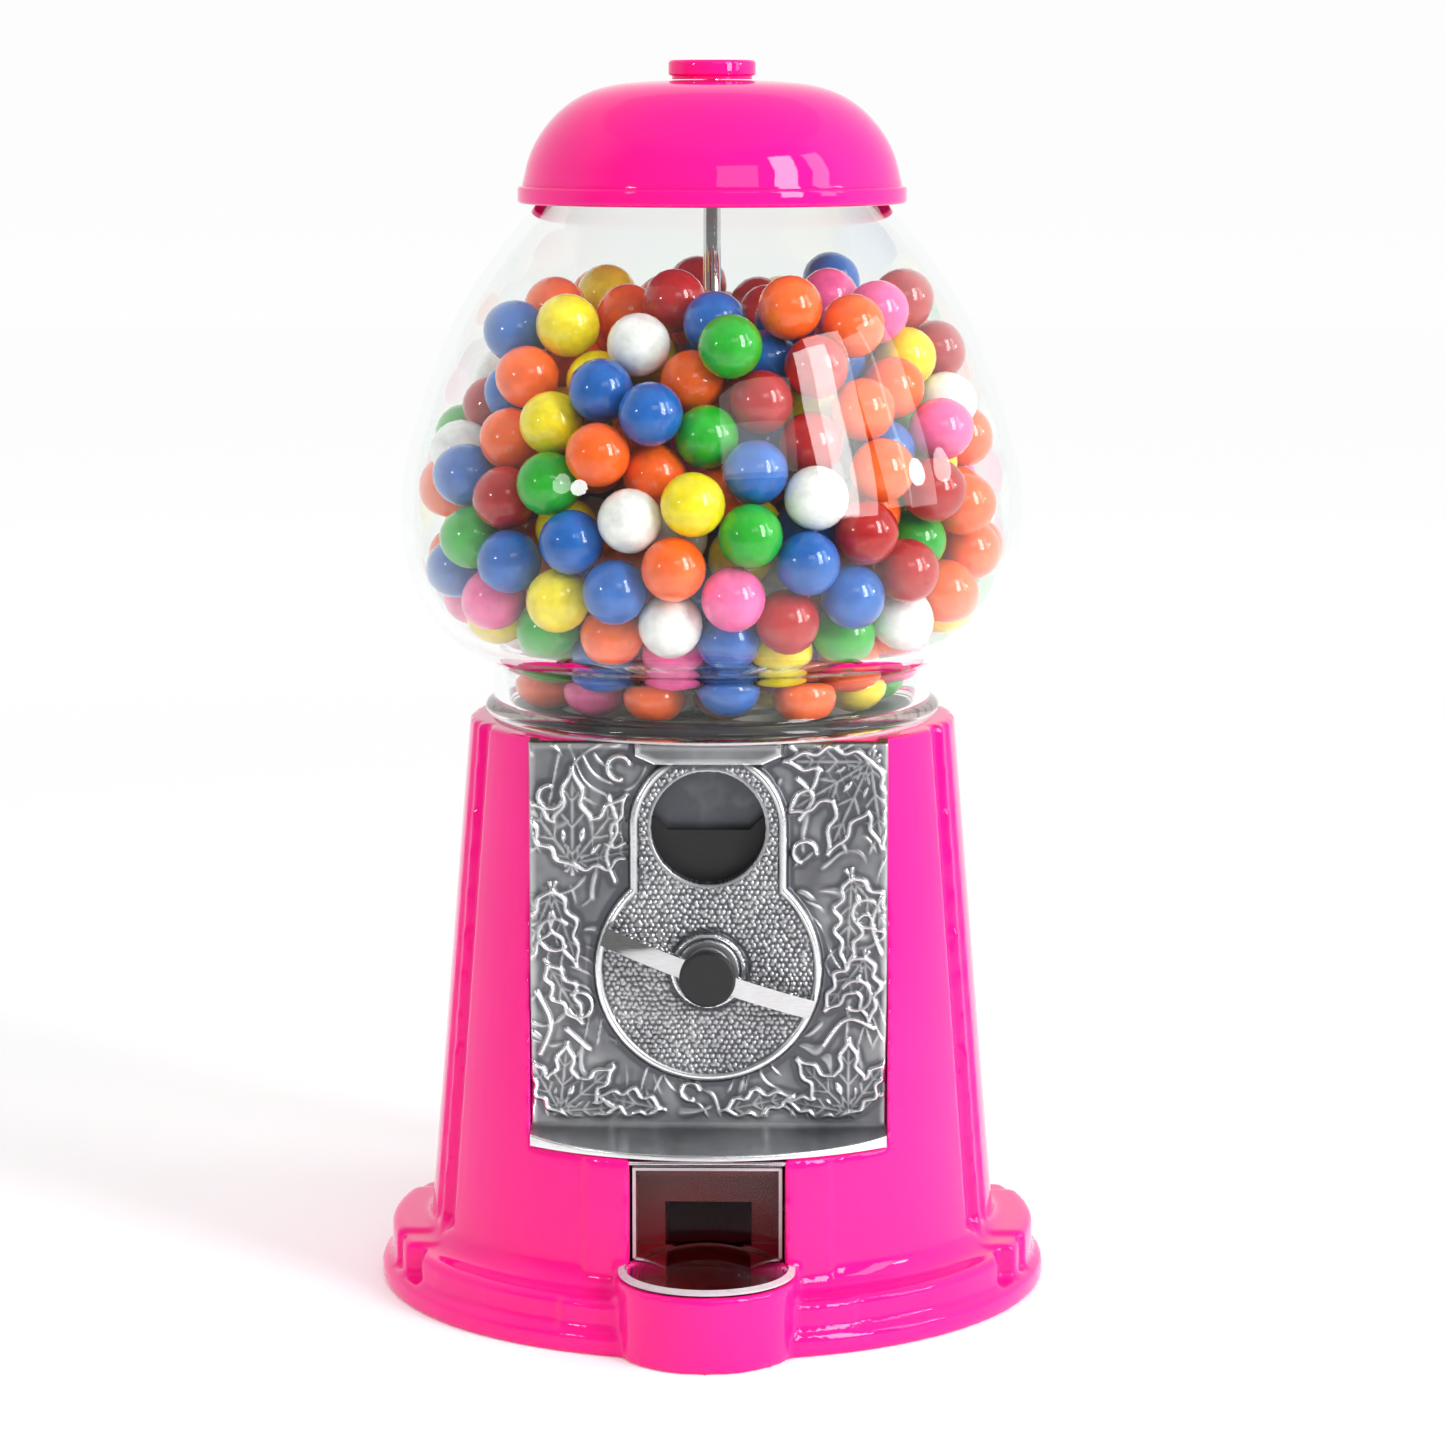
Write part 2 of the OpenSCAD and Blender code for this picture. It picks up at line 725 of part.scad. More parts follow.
module hopper() color("dimgray") {
    difference() {
        rotate_extrude() polygon([
            [0, hopper_bottom], [hopper_r, hopper_bottom], [hopper_r, stand_h],
            [hopper_flange_r, stand_h], [hopper_flange_r, hopper_top - 0.4],
            [hopper_flange_r - 0.4, hopper_top], [hopper_wall_r + 0.6, hopper_top],
            [hopper_wall_r, hopper_top - 0.6], [hopper_wall_r, hopper_floor_top],
            [28.6, hopper_floor_top], [28.6, hopper_disc_top], [hub_r, hopper_disc_top],
            [hub_r, hopper_top], [0, hopper_top]
        ]);
        translate([0, 0, 90]) cylinder(r = rod_r + 0.02, h = 60);
        translate([0, pocket_ring_r, 90]) cylinder(r = drop_hole_r, h = hopper_disc_top - 89);
        box([-12.8, -hopper_wall_r, hopper_bottom - 1], [12.8, -28.6, hopper_floor_top + 1]);
        for (a = [45:90:315]) rotate([0, 0, a]) translate([hopper_screw_r, 0, stand_h - 1]) {
            cylinder(r = screw_clear_r, h = 5);
            translate([0, 0, 1]) cylinder(r1 = screw_clear_r, r2 = head_r + 0.25, h = 1.6);
        }
        for (x = [-duct_screw_x, duct_screw_x]) translate([x, pocket_ring_r, hopper_bottom - 1])
            cylinder(r = screw_r + slack, h = 6);
    }
}

module hopper_screws() color("silver") {
    for (a = [45:90:315]) rotate([0, 0, a]) translate([hopper_screw_r, 0, stand_h]) {
        translate([0, 0, -5]) cylinder(r = screw_r, h = 5.5);
        translate([0, 0, 0.1]) cylinder(r1 = screw_r, r2 = head_r, h = 1.45);
    }
}

module ball_baffle() color("silver") {
    translate([0, 0, hopper_top]) linear_extrude(baffle_t) difference() {
        union() {
            translate([-baffle_half_w, 0]) square([2 * baffle_half_w, 40]);
            translate([-6, 38]) square([12, 7]);
            circle(r = baffle_half_w);
        }
        circle(r = rod_r + 0.3);
    }
}

module center_rod() color("silver") {
    translate([0, 0, hopper_bottom - 7]) cylinder(r = rod_r, h = lid_top_z + 2.4 - hopper_bottom + 7);
}

module rod_nuts() color("silver") {
    translate([0, 0, hopper_bottom - 1.2]) ring(5.5, rod_r + 0.02, 1.2);
    for (z = [hopper_bottom - 4.6, hopper_top + baffle_t]) translate([0, 0, z]) difference() {
        cylinder(r = 4.4, h = 3.2, $fn = 6);
        translate([0, 0, -1]) cylinder(r = rod_r + 0.02, h = 6);
    }
}

// Globe and lid

module globe() color("azure", 0.35) {
    bowl = smooth(bowl_keys, bowl_steps);
    inner = [for (p = moved(bowl, glass_t)) if (p.y > bowl_keys[0].y + 1.5) p];
    rotate_extrude($fn = 180) polygon(concat(
        [[neck_in_r, glass_foot]],
        smooth(foot_keys, 3),
        bowl,
        [[38.4, mouth_z - 0.6], [37.8, mouth_z], [36.4, mouth_z]],
        backwards(inner),
        [[neck_in_r, bowl_keys[0].y]]
    ));
}

module globe_gasket() color("whitesmoke") {
    translate([0, 0, stand_h]) ring(50.2, neck_in_r, gasket_t);
}

module lid() color("deeppink") {
    dome = smooth(lid_keys, 3);
    inside = [for (p = moved(dome, lid_t)) if (p.y > lid_z + 3) p];
    rib_z = mouth_z + 1.2;
    difference() {
        union() {
            rotate_extrude($fn = 180) polygon(concat(
                [[lid_r - lid_t, lid_z], [lid_r - 0.8, lid_z], [lid_r, lid_z + 0.8], [lid_r, lid_z + 3.2],
                    [lid_r - 0.3, lid_z + 3.7], [lid_r - 1, lid_z + 4]],
                dome,
                [[0, lid_top_z], [0, lid_top_z - lid_t]],
                backwards(inside),
                [[lid_r - lid_t - 0.9, lid_z + 3]]
            ));
            intersection() {
                translate([0, 0, rib_z]) ring(39.2, 36, 14);
                rotate_extrude() polygon(concat([[0, rib_z]], [[41, rib_z]], moved(dome, lid_t / 2),
                    [[0, lid_top_z - lid_t / 2]]));
            }
        }
        translate([0, 0, 260]) cylinder(r = rod_r + 0.3, h = 20);
    }
}

module lid_gasket() color("whitesmoke") {
    translate([0, 0, mouth_z]) ring(39, 36.2, 1.2);
}

module lid_knob() color("deeppink") {
    base_z = lid_top_z + 0.1;
    difference() {
        rotate_extrude() polygon(concat(
            [[0, base_z], [knob_r - knob_groove, base_z], [knob_r - knob_groove, base_z + 0.6],
                [knob_r, base_z + 0.9]],
            arc([knob_r - 0.8, total_h - 0.8], 0.8, 0, 90, 4),
            [[0, total_h]]
        ));
        translate([0, 0, base_z - 1]) cylinder(r = rod_r + slack, h = 3.6);
    }
}

// Chute

// Side view of the ramp: from the drop hole down and forward to the cup
function ramp_side(grow) = let (floor_slope = 0.445, low = cup_floor + 1.2)
    [
        [9.8 - grow, hopper_bottom - 0.1 + (grow > 0 ? 0 : 1)],
        [9.8 - grow, 52 + grow * floor_slope], [-46, 28 + grow],
        [-54, 28 + grow], [-54, low - grow],
        [-47, low - grow], [28.2 + grow, low - grow + 75 * floor_slope],
        [28.2 + grow, hopper_bottom - 0.1 + (grow > 0 ? 0 : 1)]
    ];

module chute_duct() color("maroon") {
    duct_t = 1.2;
    half_w = 9.6;
    hood_half = 16.6;
    difference() {
        union() {
            side_shape(2 * (half_w + duct_t)) polygon(ramp_side(duct_t));
            box([-hood_half, -57, cup_floor + 0.1], [hood_half, -46.2, ledge_z - ledge_t - 0.4]);
            box([-17.4, 9.8, hopper_bottom - 2.1], [17.4, 28.2, hopper_bottom - 0.1]);
        }
        side_shape(2 * half_w) polygon(ramp_side(0));
        box([-hood_half + duct_t, -58, cup_floor + 1.2],
            [hood_half - duct_t, -47.4, ledge_z - ledge_t - 1.6]);
        for (x = [-duct_screw_x, duct_screw_x]) translate([x, pocket_ring_r, hopper_bottom - 4])
            cylinder(r = screw_clear_r, h = 6);
    }
}

module duct_screws() color("silver") {
    for (x = [-duct_screw_x, duct_screw_x]) translate([x, pocket_ring_r, hopper_bottom - 2.1]) {
        cylinder(r = screw_r, h = 6);
        translate([0, 0, -1.5]) cylinder(r = head_r, h = 1.5);
    }
}

module flap_dome(r, sphere_r) {
    intersection() {
        translate([0, cup_y, dome_center_z]) sphere(r = sphere_r, $fn = 180);
        translate([0, cup_y, dome_rim_z]) cylinder(r = r, h = 20);
    }
}

module chute_flap() color("azure", 0.4) {
    knuckle_r = 1.15;
    panel_low = dome_center_z + sqrt(pow(dome_sphere_r, 2) - pow(cup_y - pin_y, 2)) - 0.6;
    wall_front = -63.9;
    difference() {
        union() {
            along_x(knuckle_r, flap_half_w, pin_y, pin_z);
            box([-flap_half_w, flap_front, panel_low], [flap_half_w, flap_front + flap_t, pin_z]);
            difference() {
                flap_dome(dome_r, dome_sphere_r);
                flap_dome(dome_r - flap_t, dome_sphere_r - flap_t);
                box([-30, flap_front + flap_t, 0], [30, 0, 40]);
                for (x = [-30, flap_half_w]) box([x, wall_front, 0], [x + 30 - flap_half_w, 0, 40]);
            }
        }
        along_x(pin_r + slack, 30, pin_y, pin_z);
    }
}

module flap_pin() color("silver") {
    along_x(pin_r, mouth_half_w + 2, pin_y, pin_z);
}

// Gumballs

// Lowest and highest place of a ball's centre at each distance from the axis
function center_path() = [
    for (p = moved(smooth(bowl_keys, bowl_steps), glass_t + ball_r + wall_keepout))
        if (p.x > neck_in_r - ball_r) p
];
function low_limits(path) = let (widest = max([for (p = path) p.x]))
    concat([[0, hopper_top + ball_r + 0.1], [neck_in_r - ball_r - 0.3, hopper_top + ball_r + 0.1]],
        rising([for (p = path) if (p.y < 172) p], 0, 0));
function rising(path, i, reach) = i >= len(path) ? []
    : path[i].x > reach ? concat([path[i]], rising(path, i + 1, path[i].x))
    : rising(path, i + 1, reach);
function high_limits(path) = backwards([for (p = path) if (p.y > 180) p]);

// Height of the floor under a ball at (x, y), which is higher over the baffle
function floor_z(x, y, r, lows) = lookup(r, lows)
    + (abs(x) < baffle_half_w + ball_r && y > -baffle_half_w - ball_r ? baffle_t : 0);

// Height at which a ball dropped at (x, y) comes to rest on the balls below it
function rest_z(x, y, pile, lows, highs) = let (
        r = norm([x, y]),
        z = r < rod_keepout || r > lows[len(lows) - 1].x ? never : max(concat([floor_z(x, y, r, lows)], [
            for (b = pile) let (gap2 = (b.x - x) * (b.x - x) + (b.y - y) * (b.y - y))
                if (gap2 < ball_d * ball_d) b.z + sqrt(ball_d * ball_d - gap2)
        ])) + ball_gap
    ) z > lookup(r, highs) ? never : z;

function lowest(places) = let (z = min([for (p = places) p.z])) [for (p = places) if (p.z == z) p][0];

// Let a ball roll to lower places near the one it has
function settled(place, pile, lows, highs, seed, round) = round == settle_rounds ? place
    : let (
        reach = 6 / pow(1.8, round),
        turns = rands(0, 360, settle_tries, seed + round),
        tries = [for (a = turns) let (x = place.x + reach * cos(a), y = place.y + reach * sin(a))
            [x, y, rest_z(x, y, pile, lows, highs)]]
    ) settled(lowest(concat([place], tries)), pile, lows, highs, seed, round + 1);

function next_ball(pile, lows, highs, seed) = let (
        recent = [for (i = [max(0, len(pile) - 130):1:len(pile) - 1]) pile[i]],
        widest = lows[len(lows) - 1].x,
        random = rands(0, 1, 2 * first_tries, seed),
        tries = [for (i = [0:first_tries - 1])
            let (
                r = i % 3 == 0 ? widest - 20 * pow(random[2 * i], 2) : widest * sqrt(random[2 * i]),
                a = 360 * random[2 * i + 1]
            ) [r * cos(a), r * sin(a), rest_z(r * cos(a), r * sin(a), recent, lows, highs)]],
        best = lowest(tries),
        near = [for (b = recent) if (norm([b.x - best.x, b.y - best.y]) < ball_d + 14) b]
    ) settled(best, near, lows, highs, seed, 0);

function heap(count, pile, lows, highs) = len(pile) == count ? pile
    : heap(count, concat(pile, [next_ball(pile, lows, highs, heap_seed + 50 * len(pile))]), lows, highs);

// The balls whose colour number is from low up to high, out of 100
module gumballs(low, high) {
    path = center_path();
    pile = heap(ball_count, [], low_limits(path), high_limits(path));
    colours = rands(0, 100, ball_count, colour_seed);
    for (i = [0:ball_count - 1])
        if (colours[i] >= low && colours[i] < high && pile[i].z < never)
            translate(pile[i]) sphere(r = ball_r, $fn = 36);
}

module gumballs_orange() color("orangered") gumballs(0, 30);
module gumballs_red() color("firebrick") gumballs(30, 45);
module gumballs_blue() color("steelblue") gumballs(45, 59);
module gumballs_yellow() color("gold") gumballs(59, 72);
module gumballs_green() color("limegreen") gumballs(72, 82);
module gumballs_pink() color("hotpink") gumballs(82, 90);
module gumballs_white() color("white") gumballs(90, 100);

body_casting();
base_plate();
base_screws();
base_pad();
coin_plug();
face_plate();
plate_screws();
coin_track_plate();
coin_wheel();
handle_shaft();
shaft_bush();
handle_lever();
handle_cap();
drive_pinion();
shaft_clip();
idler_post();
idler_gear();
idler_clip();
coin_pawl();
pawl_pivot();
pawl_spring();
candy_wheel();
hopper();
hopper_screws();
ball_baffle();
center_rod();
rod_nuts();
globe();
globe_gasket();
lid();
lid_gasket();
lid_knob();
chute_duct();
duct_screws();
chute_flap();
flap_pin();
gumballs_orange();
gumballs_red();
gumballs_blue();
gumballs_yellow();
gumballs_green();
gumballs_pink();
gumballs_white();
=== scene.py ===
"""Looks of the gumball machine: enamelled stand, antiqued face plate, glass globe of gumballs."""
import json
import math

import bmesh
import bpy
import numpy as np
from mathutils import Matrix, Vector


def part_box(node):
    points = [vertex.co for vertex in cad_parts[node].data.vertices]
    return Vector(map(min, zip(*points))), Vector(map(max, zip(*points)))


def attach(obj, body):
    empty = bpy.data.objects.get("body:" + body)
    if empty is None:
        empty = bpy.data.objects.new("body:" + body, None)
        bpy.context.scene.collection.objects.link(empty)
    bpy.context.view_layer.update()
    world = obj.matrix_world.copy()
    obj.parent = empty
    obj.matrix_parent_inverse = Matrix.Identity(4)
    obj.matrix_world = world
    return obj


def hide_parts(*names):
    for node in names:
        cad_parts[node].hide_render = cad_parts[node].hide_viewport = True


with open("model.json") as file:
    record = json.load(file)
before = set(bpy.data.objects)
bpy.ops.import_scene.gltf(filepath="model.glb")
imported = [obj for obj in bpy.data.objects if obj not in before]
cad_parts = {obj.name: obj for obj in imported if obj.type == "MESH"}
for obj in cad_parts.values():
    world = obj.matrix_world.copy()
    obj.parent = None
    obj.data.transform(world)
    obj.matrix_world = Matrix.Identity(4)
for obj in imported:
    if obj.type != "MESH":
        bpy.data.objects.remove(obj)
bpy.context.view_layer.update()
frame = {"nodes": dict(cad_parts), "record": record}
MM = 0.001

# Driving dimensions of the face plate, in millimetres, as the CAD model has them
PLATE_FRONT = -46.0
PLATE_BACK = -43.0
BOSS_R = 24.8
NECK_R = 17.0
WINDOW_RISE = 31.7
WINDOW_R = 12.6
COLLAR_R = 8.6
SHAFT_HOLE_R = 5.0
LIP_R = 63.6
LIP_T = 1.2
LIP_RISE = 3.2
GRID_PITCH = 0.28

# Relief of the face plate, in millimetres above its flat front
BOSS_RISE = 1.3
BEAD_W = 1.3
BEAD_RISE = 1.9
COLLAR_RISE = 2.9
PEBBLE_PITCH = 1.25
PEBBLE_RISE = 0.42
LINE_W = 0.62
LINE_RISE = 0.75
TENDRIL_RISE = 0.36
TENDRIL_W = 0.5

# Wall thicknesses and the gumballs' radius, in millimetres, as the CAD model has them
GLASS_T = 2.6
LID_T = 2.0
BALL_R = 7.0

# Share of the stage's glow on the camera's side, and the lamps' distance in metres
FRONT_GLOW = 0.24
LAMP_DISTANCE = 1.25


def mm_box(node):
    """Lowest and highest corner of a CAD node, in millimetres."""
    low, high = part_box(node)
    return low / MM, high / MM


PLATE_LOW, PLATE_HIGH = mm_box("face_plate")
HANDLE_LOW, HANDLE_HIGH = mm_box("handle_cap")
HANDLE_Z = (HANDLE_LOW.z + HANDLE_HIGH.z) / 2
WINDOW_Z = HANDLE_Z + WINDOW_RISE
HALF_PLATE = PLATE_HIGH.x


# ---------------------------------------------------------------- materials


def new_material(name):
    """An empty node material with its Principled shader."""
    made = bpy.data.materials.new(name)
    made.use_nodes = True
    return made, made.node_tree, made.node_tree.nodes["Principled BSDF"]


def add_node(tree, kind, **settings):
    node = tree.nodes.new(kind)
    for key, value in settings.items():
        if key in node.inputs:
            node.inputs[key].default_value = value
        else:
            setattr(node, key, value)
    return node


def object_noise(tree, scale, detail=3.0, roughness=0.5):
    """Noise fixed to the object, at scale bumps per metre."""
    place = add_node(tree, "ShaderNodeTexCoord")
    noise = add_node(tree, "ShaderNodeTexNoise", Scale=scale, Detail=detail, Roughness=roughness)
    tree.links.new(place.outputs["Object"], noise.inputs["Vector"])
    return noise


def value_range(tree, source, low, high, start=0.0, end=1.0):
    ranged = add_node(tree, "ShaderNodeMapRange")
    ranged.inputs["From Min"].default_value = start
    ranged.inputs["From Max"].default_value = end
    ranged.inputs["To Min"].default_value = low
    ranged.inputs["To Max"].default_value = high
    tree.links.new(source, ranged.inputs["Value"])
    return ranged.outputs["Result"]


def colour_mix(tree, source, dark, light):
    mix = add_node(tree, "ShaderNodeMix", data_type="RGBA")
    mix.inputs[6].default_value = (*dark, 1)
    mix.inputs[7].default_value = (*light, 1)
    tree.links.new(source, mix.inputs[0])
    return mix.outputs[2]


def math_of(tree, operation, first, second, **settings):
    node = add_node(tree, "ShaderNodeMath", operation=operation, **settings)
    tree.links.new(first, node.inputs[0])
    tree.links.new(second, node.inputs[1])
    return node.outputs[0]


def bump(tree, shader, source, distance, strength=1.0, under=None):
    """Bump the shader's normal by a source, on top of another bump where one is given."""
    node = add_node(tree, "ShaderNodeBump", Strength=strength, Distance=distance)
    tree.links.new(source, node.inputs["Height"])
    if under:
        tree.links.new(under, node.inputs["Normal"])
    tree.links.new(node.outputs["Normal"], shader.inputs["Normal"])
    return node.outputs["Normal"]


def enamel():
    made, tree, shader = new_material("pink_enamel")
    tone = object_noise(tree, 35, 2)
    pink = colour_mix(tree, tone.outputs["Fac"], (0.90, 0.006, 0.235), (0.97, 0.008, 0.26))
    tree.links.new(pink, shader.inputs["Base Color"])
    worn = object_noise(tree, 260, 4)
    tree.links.new(value_range(tree, worn.outputs["Fac"], 0.22, 0.34), shader.inputs["Roughness"])
    shader.inputs["Coat Weight"].default_value = 1.0
    shader.inputs["Coat Roughness"].default_value = 0.045
    shader.inputs["Coat IOR"].default_value = 1.36
    shader.inputs["Specular IOR Level"].default_value = 0.0
    peel = object_noise(tree, 420, 1)
    bump(tree, shader, peel.outputs["Fac"], 0.00002, 0.35)
    return made


def antique_aluminium():
    """Cast aluminium with dark recesses and rubbed ridges, from the mesh's own wear values."""
    made, tree, shader = new_material("antique_aluminium")
    wear = add_node(tree, "ShaderNodeAttribute", attribute_name="wear")
    grain = object_noise(tree, 900, 5, 0.65)
    stain = object_noise(tree, 70, 3)
    mixed = add_node(tree, "ShaderNodeMath", operation="MULTIPLY_ADD")
    tree.links.new(wear.outputs["Fac"], mixed.inputs[0])
    mixed.inputs[1].default_value = 1.0
    tree.links.new(value_range(tree, stain.outputs["Fac"], -0.14, 0.14, 0.3, 0.7), mixed.inputs[2])
    colour = colour_mix(tree, mixed.outputs[0], (0.13, 0.135, 0.15), (0.90, 0.91, 0.92))
    tree.links.new(colour, shader.inputs["Base Color"])
    shader.inputs["Metallic"].default_value = 1.0
    tree.links.new(value_range(tree, mixed.outputs[0], 0.46, 0.24), shader.inputs["Roughness"])
    bump(tree, shader, grain.outputs["Fac"], 0.00006, 0.5)
    return made


def metal(name, dark, light, rough_low, rough_high, scale=300, stretch=(1, 1, 1), depth=0.00001, sway=0):
    """Plain metal with faint marks, stretched where it is drawn or brushed, and a soft waviness."""
    made, tree, shader = new_material(name)
    place = add_node(tree, "ShaderNodeTexCoord")
    turn = add_node(tree, "ShaderNodeMapping")
    turn.inputs["Scale"].default_value = stretch
    noise = add_node(tree, "ShaderNodeTexNoise", Scale=scale, Detail=4.0)
    tree.links.new(place.outputs["Object"], turn.inputs["Vector"])
    tree.links.new(turn.outputs["Vector"], noise.inputs["Vector"])
    tree.links.new(colour_mix(tree, noise.outputs["Fac"], dark, light), shader.inputs["Base Color"])
    shader.inputs["Metallic"].default_value = 1.0
    rough = value_range(tree, noise.outputs["Fac"], rough_low, rough_high, 0.3, 0.7)
    tree.links.new(rough, shader.inputs["Roughness"])
    roll = object_noise(tree, 75, 0)
    wavy = bump(tree, shader, roll.outputs["Fac"], sway)
    bump(tree, shader, noise.outputs["Fac"], depth, 0.4, wavy)
    return made


def plastic(name, dark, light, rough_low, rough_high, scale=500, depth=0.00002, coat=0.0):
    made, tree, shader = new_material(name)
    noise = object_noise(tree, scale, 4)
    tree.links.new(colour_mix(tree, noise.outputs["Fac"], dark, light), shader.inputs["Base Color"])
    rough = value_range(tree, noise.outputs["Fac"], rough_low, rough_high)
    tree.links.new(rough, shader.inputs["Roughness"])
    shader.inputs["Coat Weight"].default_value = coat
    shader.inputs["Coat Roughness"].default_value = 0.08
    bump(tree, shader, noise.outputs["Fac"], depth, 0.5)
    return made


def clear(name, tint, ior, rough, waviness):
    """Glass or clear plastic that lets lamp light through to what is behind it."""
    made, tree, shader = new_material(name)
    tree.nodes.remove(shader)
    output = tree.nodes["Material Output"]
    glass = add_node(tree, "ShaderNodeBsdfGlass", Color=(*tint, 1), Roughness=rough, IOR=ior)
    ripple = object_noise(tree, 30, 2)
    wave = add_node(tree, "ShaderNodeBump", Strength=0.3, Distance=waviness)
    tree.links.new(ripple.outputs["Fac"], wave.inputs["Height"])
    tree.links.new(wave.outputs["Normal"], glass.inputs["Normal"])
    passing = add_node(tree, "ShaderNodeBsdfTransparent", Color=(*tint, 1))
    ray = add_node(tree, "ShaderNodeLightPath").outputs
    lamp_light = math_of(tree, "MAXIMUM", ray["Is Shadow Ray"], ray["Is Diffuse Ray"])
    mirrored = math_of(tree, "SUBTRACT", ray["Is Glossy Ray"], ray["Is Transmission Ray"], use_clamp=True)
    mix = add_node(tree, "ShaderNodeMixShader")
    tree.links.new(math_of(tree, "MAXIMUM", lamp_light, mirrored), mix.inputs[0])
    tree.links.new(glass.outputs[0], mix.inputs[1])
    tree.links.new(passing.outputs[0], mix.inputs[2])
    tree.links.new(mix.outputs[0], output.inputs["Surface"])
    return made


def gum(name, colour):
    """Sugar shell: slightly blotched colour, faint pits and a polished glaze."""
    made, tree, shader = new_material(name)
    blotch = object_noise(tree, 260, 4, 0.6)
    darker = tuple(0.80 * c for c in colour)
    lighter = tuple(min(1.0, c * 1.08 + 0.004) for c in colour)
    share = value_range(tree, blotch.outputs["Fac"], 0.0, 1.0, 0.34, 0.66)
    tree.links.new(colour_mix(tree, share, darker, lighter), shader.inputs["Base Color"])
    tree.links.new(value_range(tree, blotch.outputs["Fac"], 0.30, 0.5), shader.inputs["Roughness"])
    shader.inputs["Subsurface Weight"].default_value = 0.08
    shader.inputs["Subsurface Radius"].default_value = (0.002, 0.001, 0.001)
    shader.inputs["Specular IOR Level"].default_value = 0.2
    shader.inputs["Coat Weight"].default_value = 0.9
    shader.inputs["Coat Roughness"].default_value = 0.06
    pits = object_noise(tree, 520, 3, 0.55)
    bump(tree, shader, pits.outputs["Fac"], 0.00012, 0.45)
    return made


GUM_COLOURS = {
    "orange": (0.98, 0.120, 0.002),
    "red": (0.44, 0.004, 0.005),
    "blue": (0.004, 0.110, 0.44),
    "yellow": (0.90, 0.72, 0.002),
    "green": (0.012, 0.39, 0.016),
    "pink": (0.93, 0.115, 0.36),
    "white": (0.84, 0.83, 0.80),
}

MATERIALS = {
    "pink_enamel": enamel(),
    "cast_aluminium": antique_aluminium(),
    "polished_steel": metal("polished_steel", (0.50, 0.50, 0.51), (0.70, 0.70, 0.71), 0.04, 0.09, 500,
                            (1, 1, 6), sway=0.0022),
    "zinc_steel": metal("zinc_steel", (0.42, 0.43, 0.45), (0.60, 0.61, 0.62), 0.28, 0.42),
    "brass": metal("brass", (0.52, 0.36, 0.14), (0.68, 0.50, 0.22), 0.25, 0.38),
    "black_plastic": plastic("black_plastic", (0.004, 0.004, 0.005), (0.010, 0.010, 0.011), 0.36, 0.5),
    # Dark red for the chute: painted shade, standing in for its pink seen in shadow behind the clear flap.
    "maroon_plastic": plastic("maroon_plastic", (0.11, 0.003, 0.004), (0.18, 0.006, 0.007), 0.3, 0.45,
                              coat=0.2),
    "dark_cap": plastic("dark_cap", (0.006, 0.006, 0.007), (0.013, 0.013, 0.015), 0.40, 0.55, 700),
    "gear_plastic": plastic("gear_plastic", (0.62, 0.60, 0.52), (0.74, 0.72, 0.64), 0.35, 0.5),
    "rubber": plastic("grey_rubber", (0.035, 0.035, 0.037), (0.07, 0.07, 0.072), 0.65, 0.9, 800, 0.00004),
    # The pale seal plastic also paints the flap's highlights, on its rim bars and bevelled edges.
    "clear_seal": plastic("clear_seal", (0.46, 0.40, 0.43), (0.62, 0.56, 0.59), 0.2, 0.4),
    "glass": clear("clear_glass", (0.985, 0.995, 0.99), 1.40, 0.0, 0.00006),
    "clear_plastic": clear("clear_plastic", (0.97, 0.97, 0.975), 1.16, 0.0, 0.00002),
}
for colour_name, colour in GUM_COLOURS.items():
    MATERIALS["gum_" + colour_name] = gum("gum_" + colour_name, colour)


# ---------------------------------------------------------------- mesh helpers


def make_object(name, points, faces, slot, body="stand", smooth=True):
    """A mesh object from points in millimetres, with its slot's material, riding on a body."""
    mesh = bpy.data.meshes.new(name)
    mesh.from_pydata([tuple(c * MM for c in p) for p in points], [], faces)
    mesh.validate()
    made = bpy.data.objects.new(name, mesh)
    bpy.context.scene.collection.objects.link(made)
    return finish_object(made, slot, body, smooth)


def finish_object(made, slot, body, smooth=True):
    made.data.materials.clear()
    made.data.materials.append(MATERIALS[slot])
    made.data.polygons.foreach_set("use_smooth", [smooth] * len(made.data.polygons))
    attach(made, body)
    return made


def apply_modifiers(made):
    """Swap the object's mesh for its evaluated one and drop the modifiers."""
    graph = bpy.context.evaluated_depsgraph_get()
    baked = bpy.data.meshes.new_from_object(made.evaluated_get(graph))
    made.modifiers.clear()
    made.data = baked


def sharp_by_angle(made, degrees):
    """Mark edges sharper than this angle, so that flat faces keep flat shading."""
    sheet = bmesh.new()
    sheet.from_mesh(made.data)
    limit = math.radians(degrees)
    for edge in sheet.edges:
        edge.smooth = not (len(edge.link_faces) == 2 and edge.calc_face_angle(0.0) > limit)
    sheet.to_mesh(made.data)
    sheet.free()


def catmull(keys, steps):
    """A smooth curve through every key point."""
    path = []
    last = len(keys) - 1
    for i in range(last):
        a, b = keys[max(i - 1, 0)], keys[i]
        c, d = keys[i + 1], keys[min(i + 2, last)]
        for s in range(steps):
            t = s / steps
            path.append(tuple(
                0.5 * (2 * b[k] + (c[k] - a[k]) * t + (2 * a[k] - 5 * b[k] + 4 * c[k] - d[k]) * t * t
                       + (3 * b[k] - a[k] - 3 * c[k] + d[k]) * t ** 3)
                for k in (0, 1)))
    path.append(tuple(keys[last]))
    return path


def moved(path, distance):
    """The same curve moved to its left by distance."""
    result = []
    for i, (r, z) in enumerate(path):
        a, b = path[max(i - 1, 0)], path[min(i + 1, len(path) - 1)]
        length = math.hypot(b[0] - a[0], b[1] - a[1])
        result.append((r - distance * (b[1] - a[1]) / length, z + distance * (b[0] - a[0]) / length))
    return result


